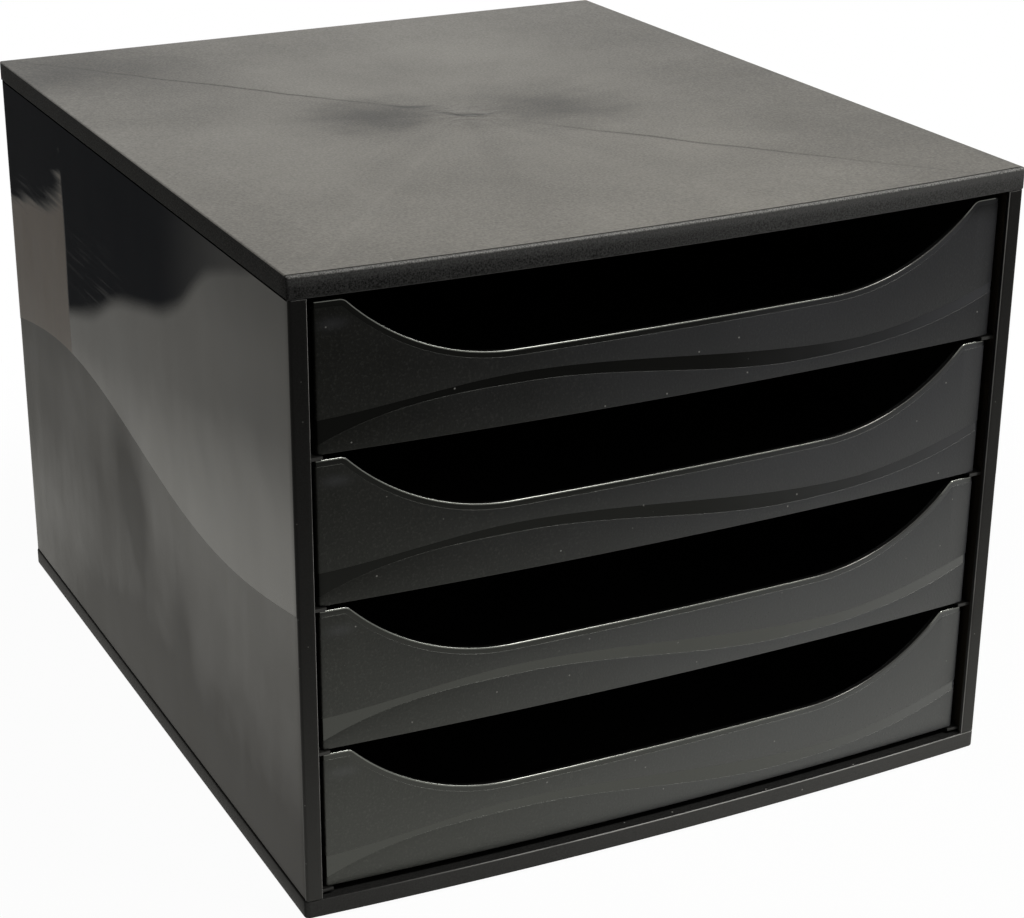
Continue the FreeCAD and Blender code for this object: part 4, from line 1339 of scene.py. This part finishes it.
sheenColour = (0.078, 0.080, 0.090)
frontGloss = (0.96, 1.0, 0.94)
plasticIor = 1.5
drawerLooks = {
    # each front has its own gloss, the lowest the most; the painted sheen has its share and, along the
    # front, its start and where it is full
    "grain": {
        "dark": (0.0015, 0.0015, 0.0015), "light": (0.0340, 0.0340, 0.0320), "roughness": 0.38,
        "specular": (0.17, 0.28, 0.50, 0.67), "grainSize": 0.90 * mm, "grainHeight": 0.080 * mm,
        "paintedGlint": 1.0,
        "paintedSheen": ((0.50, -130 * mm, 60 * mm), (0.71, -130 * mm, 120 * mm),
                 (0.71, -130 * mm, 80 * mm), (0.62, -130 * mm, 100 * mm))},
    "smooth": {
        "dark": (0.0035, 0.0035, 0.0035), "light": (0.0065, 0.0065, 0.0060), "roughness": 0.09,
        "specular": (0.08, 0.16, 0.76, 0.80), "grainSize": 2.5 * mm, "grainHeight": 0.004 * mm,
        "paintedSheen": ((1.0, 0.0, 170 * mm),) * 4},
    "strip": {
        "dark": (0.0035, 0.0035, 0.0035), "light": (0.0090, 0.0090, 0.0085), "roughness": 0.20,
        "specular": (0.14, 0.24, 0.46, 0.60), "grainSize": 1.5 * mm, "grainHeight": 0.010 * mm,
        "paintedSheen": ((0.85, -40 * mm, 170 * mm),) * 4},
    "tray": {
        "dark": (0.020, 0.020, 0.020), "light": (0.034, 0.034, 0.033), "roughness": 0.36,
        "specular": (0.42,) * 4, "grainSize": 1.2 * mm, "grainHeight": 0.008 * mm},
    "rim": {
        "dark": (0.006, 0.006, 0.006), "light": (0.012, 0.012, 0.012), "roughness": 0.10,
        "specular": (0.5,) * 4, "grainSize": 2.0 * mm, "grainHeight": 0.002 * mm, "ior": 2.5},
}
# a pale scuff in each front's upper left corner: across, below the top, squeeze and width
scuffMark = (-126.0 * mm, 8.0 * mm, 2.2, 4.5 * mm)


def frontSheen(paint, number, paintedSheen, clouds, scuff):
    # a painted sheen over a front, stronger to the right, together with the scuff
    share, start, end = paintedSheen[number - 1]
    return ((paint.x + (clouds - 0.5) * 50 * mm).ramp(start, end) * share).bigger(scuff)


def drawerFinish(number, part):
    look = drawerLooks[part]
    paint = Paint("drawer%d%s" % (number, part.capitalize()))
    grain = paint.noise(look["grainSize"], 2.0, 0.65)
    clouds = paint.noise(45 * mm, 3.0, 0.6)
    handled = paint.noise(16 * mm, 3.0, 0.65, place=paint.stretched((1.0, 1.0, 0.45), (0.0, 0.3, 0.0)))
    sparkles = look.get("paintedGlint", 0.0)
    # grain peaks: partly glossier, partly painted glints made lighter in the colour
    paintedGlint = grain.ramp(0.55, 0.70) * sparkles
    colour = paint.blend(clouds * 0.10 + handled * 0.08 + (grain - 0.5) * sparkles * 0.5 + paintedGlint * 0.40,
                         look["dark"], look["light"])
    if "paintedSheen" in look:
        across, below, squeeze, width = scuffMark
        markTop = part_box("drawer_%d" % number)[1].z - below
        scuff = paint.spot(paint.x - across, (paint.z - markTop) * squeeze, width, (handled - 0.5) * 4 * mm)
        paintedSheen = frontSheen(paint, number, look["paintedSheen"], clouds, scuff * (0.2 + handled * 0.3) * sparkles)
        # painted sheen: a pale bluish cast toward the right of each front
        colour = paint.blend(paintedSheen, colour, sheenColour)
    paint.set(Base_Color=colour,
              Roughness=look["roughness"] + (clouds - 0.5) * 0.10 + (handled - 0.5) * 0.08 - paintedGlint * 0.10,
              Specular_IOR_Level=look["specular"][number - 1], IOR=look.get("ior", plasticIor),
              Specular_Tint=frontGloss,
              Normal=paint.bump(grain, look["grainHeight"]))
    if part in ("grain", "smooth"):
        paint.dusted(4 * mm, 0.12)
    if part == "rim":
        # duller where the edge climbs to the right
        bend = drawer["cutHalfFlat"]
        paint.cover(paint.x.window(bend - 8 * mm, bend + 8 * mm, 117 * mm, 120 * mm) * 0.80,
                    Base_Color=paint.blend(grain, look["dark"], look["light"]),
                    Roughness=0.3, Specular_IOR_Level=0.6)
    return paint.material


baseLook = {
    "dark": (0.010, 0.010, 0.010),
    "light": (0.135, 0.135, 0.133),
    "grain": 0.6 * mm,
    "grainHeight": 0.030 * mm,
    "specular": 0.03,
    "wearAndSheen": (0.340, 0.340, 0.335),
}


def baseFinish():
    # dull grained band, its front painted paler as painted light, with a painted highlight along the upper
    # edge
    look = baseLook
    paint = Paint("baseFinish")
    grain = paint.noise(look["grain"], 2.0, 0.6)
    patches = paint.noise(40 * mm, 3.0)
    # painted light: the front face is painted paler, more to the right
    tone = (0.08 + (grain - 0.5) * 0.30 + (patches - 0.5) * 0.10
            + paint.forward(0.2, 0.8) * (0.27 + paint.x.ramp(-140 * mm, 130 * mm) * 0.28))
    paint.set(Base_Color=paint.blend(tone, look["dark"], look["light"]),
              Roughness=0.42 + (patches - 0.5) * 0.12,
              Specular_IOR_Level=look["specular"],
              Normal=paint.bump(grain, look["grainHeight"]))
    # painted highlight along the upper front edge, on the left
    wearAndSheen = paint.facing(2).window(0.15, 0.4, 0.9, 0.98) * paint.forward(0.1, 0.3)
    paint.cover(wearAndSheen * patches.ramp(0.2, 0.5) * paint.x.ramp(-130 * mm, -20 * mm),
                Base_Color=look["wearAndSheen"], Roughness=0.4, Specular_IOR_Level=0.3)
    paint.dusted(4 * mm, 0.15)
    return paint.material


plainLooks = {
    # dark, light, roughness, and the size and height of the grain
    "back": ((0.010, 0.010, 0.010), (0.018, 0.018, 0.017), 0.4, 0.6 * mm, 0.02 * mm),
    "rail": ((0.010, 0.010, 0.010), (0.020, 0.020, 0.019), 0.3, 1.0 * mm, 0.01 * mm),
    "foot": ((0.020, 0.020, 0.020), (0.034, 0.034, 0.032), 0.75, 0.4 * mm, 0.04 * mm),
}


def plainFinish(name):
    dark, light, roughness, grainSize, grainHeight = plainLooks[name]
    paint = Paint(name + "Finish")
    grain = paint.noise(grainSize, 3.0, 0.6)
    patches = paint.noise(40 * mm, 3.0)
    paint.set(Base_Color=paint.blend(grain * 0.4 + patches * 0.6, dark, light),
              Roughness=roughness + (patches - 0.5) * 0.12,
              Specular_IOR_Level=0.42,
              Normal=paint.bump(grain, grainHeight))
    return paint.material


print("finishes")
lidPaint = lidFinish()
sidePaint = sideFinish()
basePaint = baseFinish()
backPaint, railPaint, footPaint = (plainFinish(name) for name in plainLooks)


def mount(piece, body, nodes):
    # a piece rides on its body in place of its nodes
    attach(piece, body)
    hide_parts(*nodes)


print("case")
mount(makeLid(lidPaint), "case", ["top_panel"])
mount(makeBase(basePaint), "case", ["bottom_panel"])
mount(makeRibs("lidRibs", cadHigh.z, basePaint), "case", ["top_panel"])
mount(makeRibs("baseRibs", baseTop, basePaint), "case", ["bottom_panel"])
for side, sideName in ((-1, "left"), (1, "right")):
    for sidePiece in (makeSide(sideName + "Side", side, sidePaint),
                      makeSideTabs(sideName + "Tabs", side, sidePaint),
                      makeRails(sideName + "Rails", side, railPaint)):
        mount(sidePiece, "case", [sideName + "_side_panel"])
mount(makeBack(backPaint), "case", ["back_panel"])
mount(makeFeet(footPaint), "case", feet["nodes"])

print("drawers")
for number in drawerNumbers:
    node = "drawer_%d" % number
    drawerPiece = makeDrawer(number, [drawerFinish(number, part) for part in drawerParts])
    mount(drawerPiece, node, [node])

# studio: a pale floor, a white surround, soft lamps and the camera
studio = {
    "floorSize": 30.0,
    "floorDark": (0.86, 0.86, 0.86),
    "floorLight": (0.92, 0.92, 0.92),
    "ambient": 0.10,           # how bright the surround is where it lights
    "frontWhite": 0.55,        # how white it is in front, and where that fades
    "frontFade": (-0.9, 0.0),
    "tint": (1.0, 0.982, 0.935),
    "mirrored": (1.0, 0.985, 0.925),
    # the white paper: its share of white near the object and away from it, where one goes over
    # into the other, a point of it, and for each edge the way in and where the white fades
    "paperNear": 0.97,
    "paperFar": 1.0,
    "paperReach": (0.24, 0.45),
    "paperCorner": (-0.235, -0.110),
    "paperEdges": ((0.963, -0.270, -0.26, -0.01),      # left
                   (0.431, 0.902, -0.45, 0.02),        # front
                   (-0.788, 0.615, -1.30, -0.80)),     # right
    # the least share of white round the paper, where it lights and where it is seen straight
    "restShare": 0.33,
    "seenShare": 0.85,
    # name, place, aim, size, power, spread and roll in degrees
    "lamps": (
        ("keyLamp", (0.50, -0.65, 1.50), (0.10, -0.14, 0.0), (0.45, 0.45), 0.72, 40, 0),
        ("stripLamp", (0.91, -0.51, 1.05), (0.0, -0.16, 0.18), (1.30, 0.14), 0.50, 44, -54),
    ),
}


def makeFloor():
    shell = Shell()
    half = studio["floorSize"] / 2
    shell.face([shell.add((x * half, y * half, 0.0)) for x, y in ((-1, -1), (1, -1), (1, 1), (-1, 1))])
    paint = Paint("floorFinish")
    paint.set(Base_Color=paint.blend(paint.noise(0.4, 2.0), studio["floorDark"], studio["floorLight"]),
              Roughness=0.9, Specular_IOR_Level=0.1)
    across, along = studio["paperCorner"]
    away = (paint.x ** 2 + paint.y ** 2) ** 0.5
    near, far = studio["paperNear"], studio["paperFar"]
    paper = away.ramp(*studio["paperReach"]) * (far - near) + near
    for wayX, wayY, start, end in studio["paperEdges"]:
        paper = ((paint.x - across) * wayX + (paint.y - along) * wayY).ramp(start, end) * paper
    straight = paint.ray("Camera")
    white = paper.bigger(straight * (studio["seenShare"] - studio["restShare"]) + studio["restShare"])
    glow = paint.node("ShaderNodeEmission", {
        "Color": paint.blend(straight, studio["mirrored"], (1.0, 1.0, 1.0)), "Strength": 1.0})
    paint.mix(white * paint.seen(), Signal(paint, paint.shader.outputs[0]), glow)
    shell.finished("floor", [paint.material])


def makeLamp(name, place, aim, size, power, spread, roll):
    data = bpy.data.lights.new(name, "AREA")
    data.shape = "RECTANGLE"
    data.size, data.size_y = size
    data.energy = power
    data.color = studio["tint"]
    data.spread = math.radians(spread)
    lamp = bpy.data.objects.new(name, data)
    lamp.location = place
    facing = (Vector(aim) - Vector(place)).to_track_quat("-Z", "Y")
    lamp.rotation_euler = (facing @ Quaternion((0, 0, 1), math.radians(roll))).to_euler()
    lamp.visible_camera = False
    bpy.context.scene.collection.objects.link(lamp)


def makeSurround():
    # white where it is seen or mirrored, softer where it lights
    world = bpy.data.worlds.new("surround")
    bpy.context.scene.world = world
    world.use_nodes = True
    shading = Shading(world.node_tree)
    way = shading.split(shading.node("ShaderNodeTexCoord", {}, "Generated"), "Y")
    # a little darker in front, but white all round where it's seen straight
    front, ambient = studio["frontWhite"], studio["ambient"]
    white = (way.ramp(*studio["frontFade"]) * (1 - front) + front).bigger(shading.ray("Camera"))
    background = world.node_tree.nodes["Background"]
    shading.plug(background.inputs["Color"], studio["tint"])
    shading.plug(background.inputs["Strength"], shading.seen() * (white - ambient) + ambient)


camera = {
    "place": (-0.39768, -0.81671, 0.46561),
    "turn": (67.478, 0.349, -25.063),       # degrees about X, Y and Z
    "focalPixels": 2373.9,
    "imageWidth": 1024,
    "middleX": 430.0,                       # where the lens axis meets the image
    "sensor": 36.0,
}


def makeCamera():
    data = bpy.data.cameras.new("camera")
    data.sensor_width = camera["sensor"]
    data.lens = camera["focalPixels"] / camera["imageWidth"] * camera["sensor"]
    data.shift_x = (camera["imageWidth"] / 2 - camera["middleX"]) / camera["imageWidth"]
    eye = bpy.data.objects.new("camera", data)
    eye.location = camera["place"]
    eye.rotation_euler = [math.radians(angle) for angle in camera["turn"]]
    bpy.context.scene.collection.objects.link(eye)
    bpy.context.scene.camera = eye


print("studio")
makeFloor()
for lamp in studio["lamps"]:
    makeLamp(*lamp)
makeSurround()
makeCamera()
bpy.context.scene.view_settings.view_transform = "Standard"

print("done")
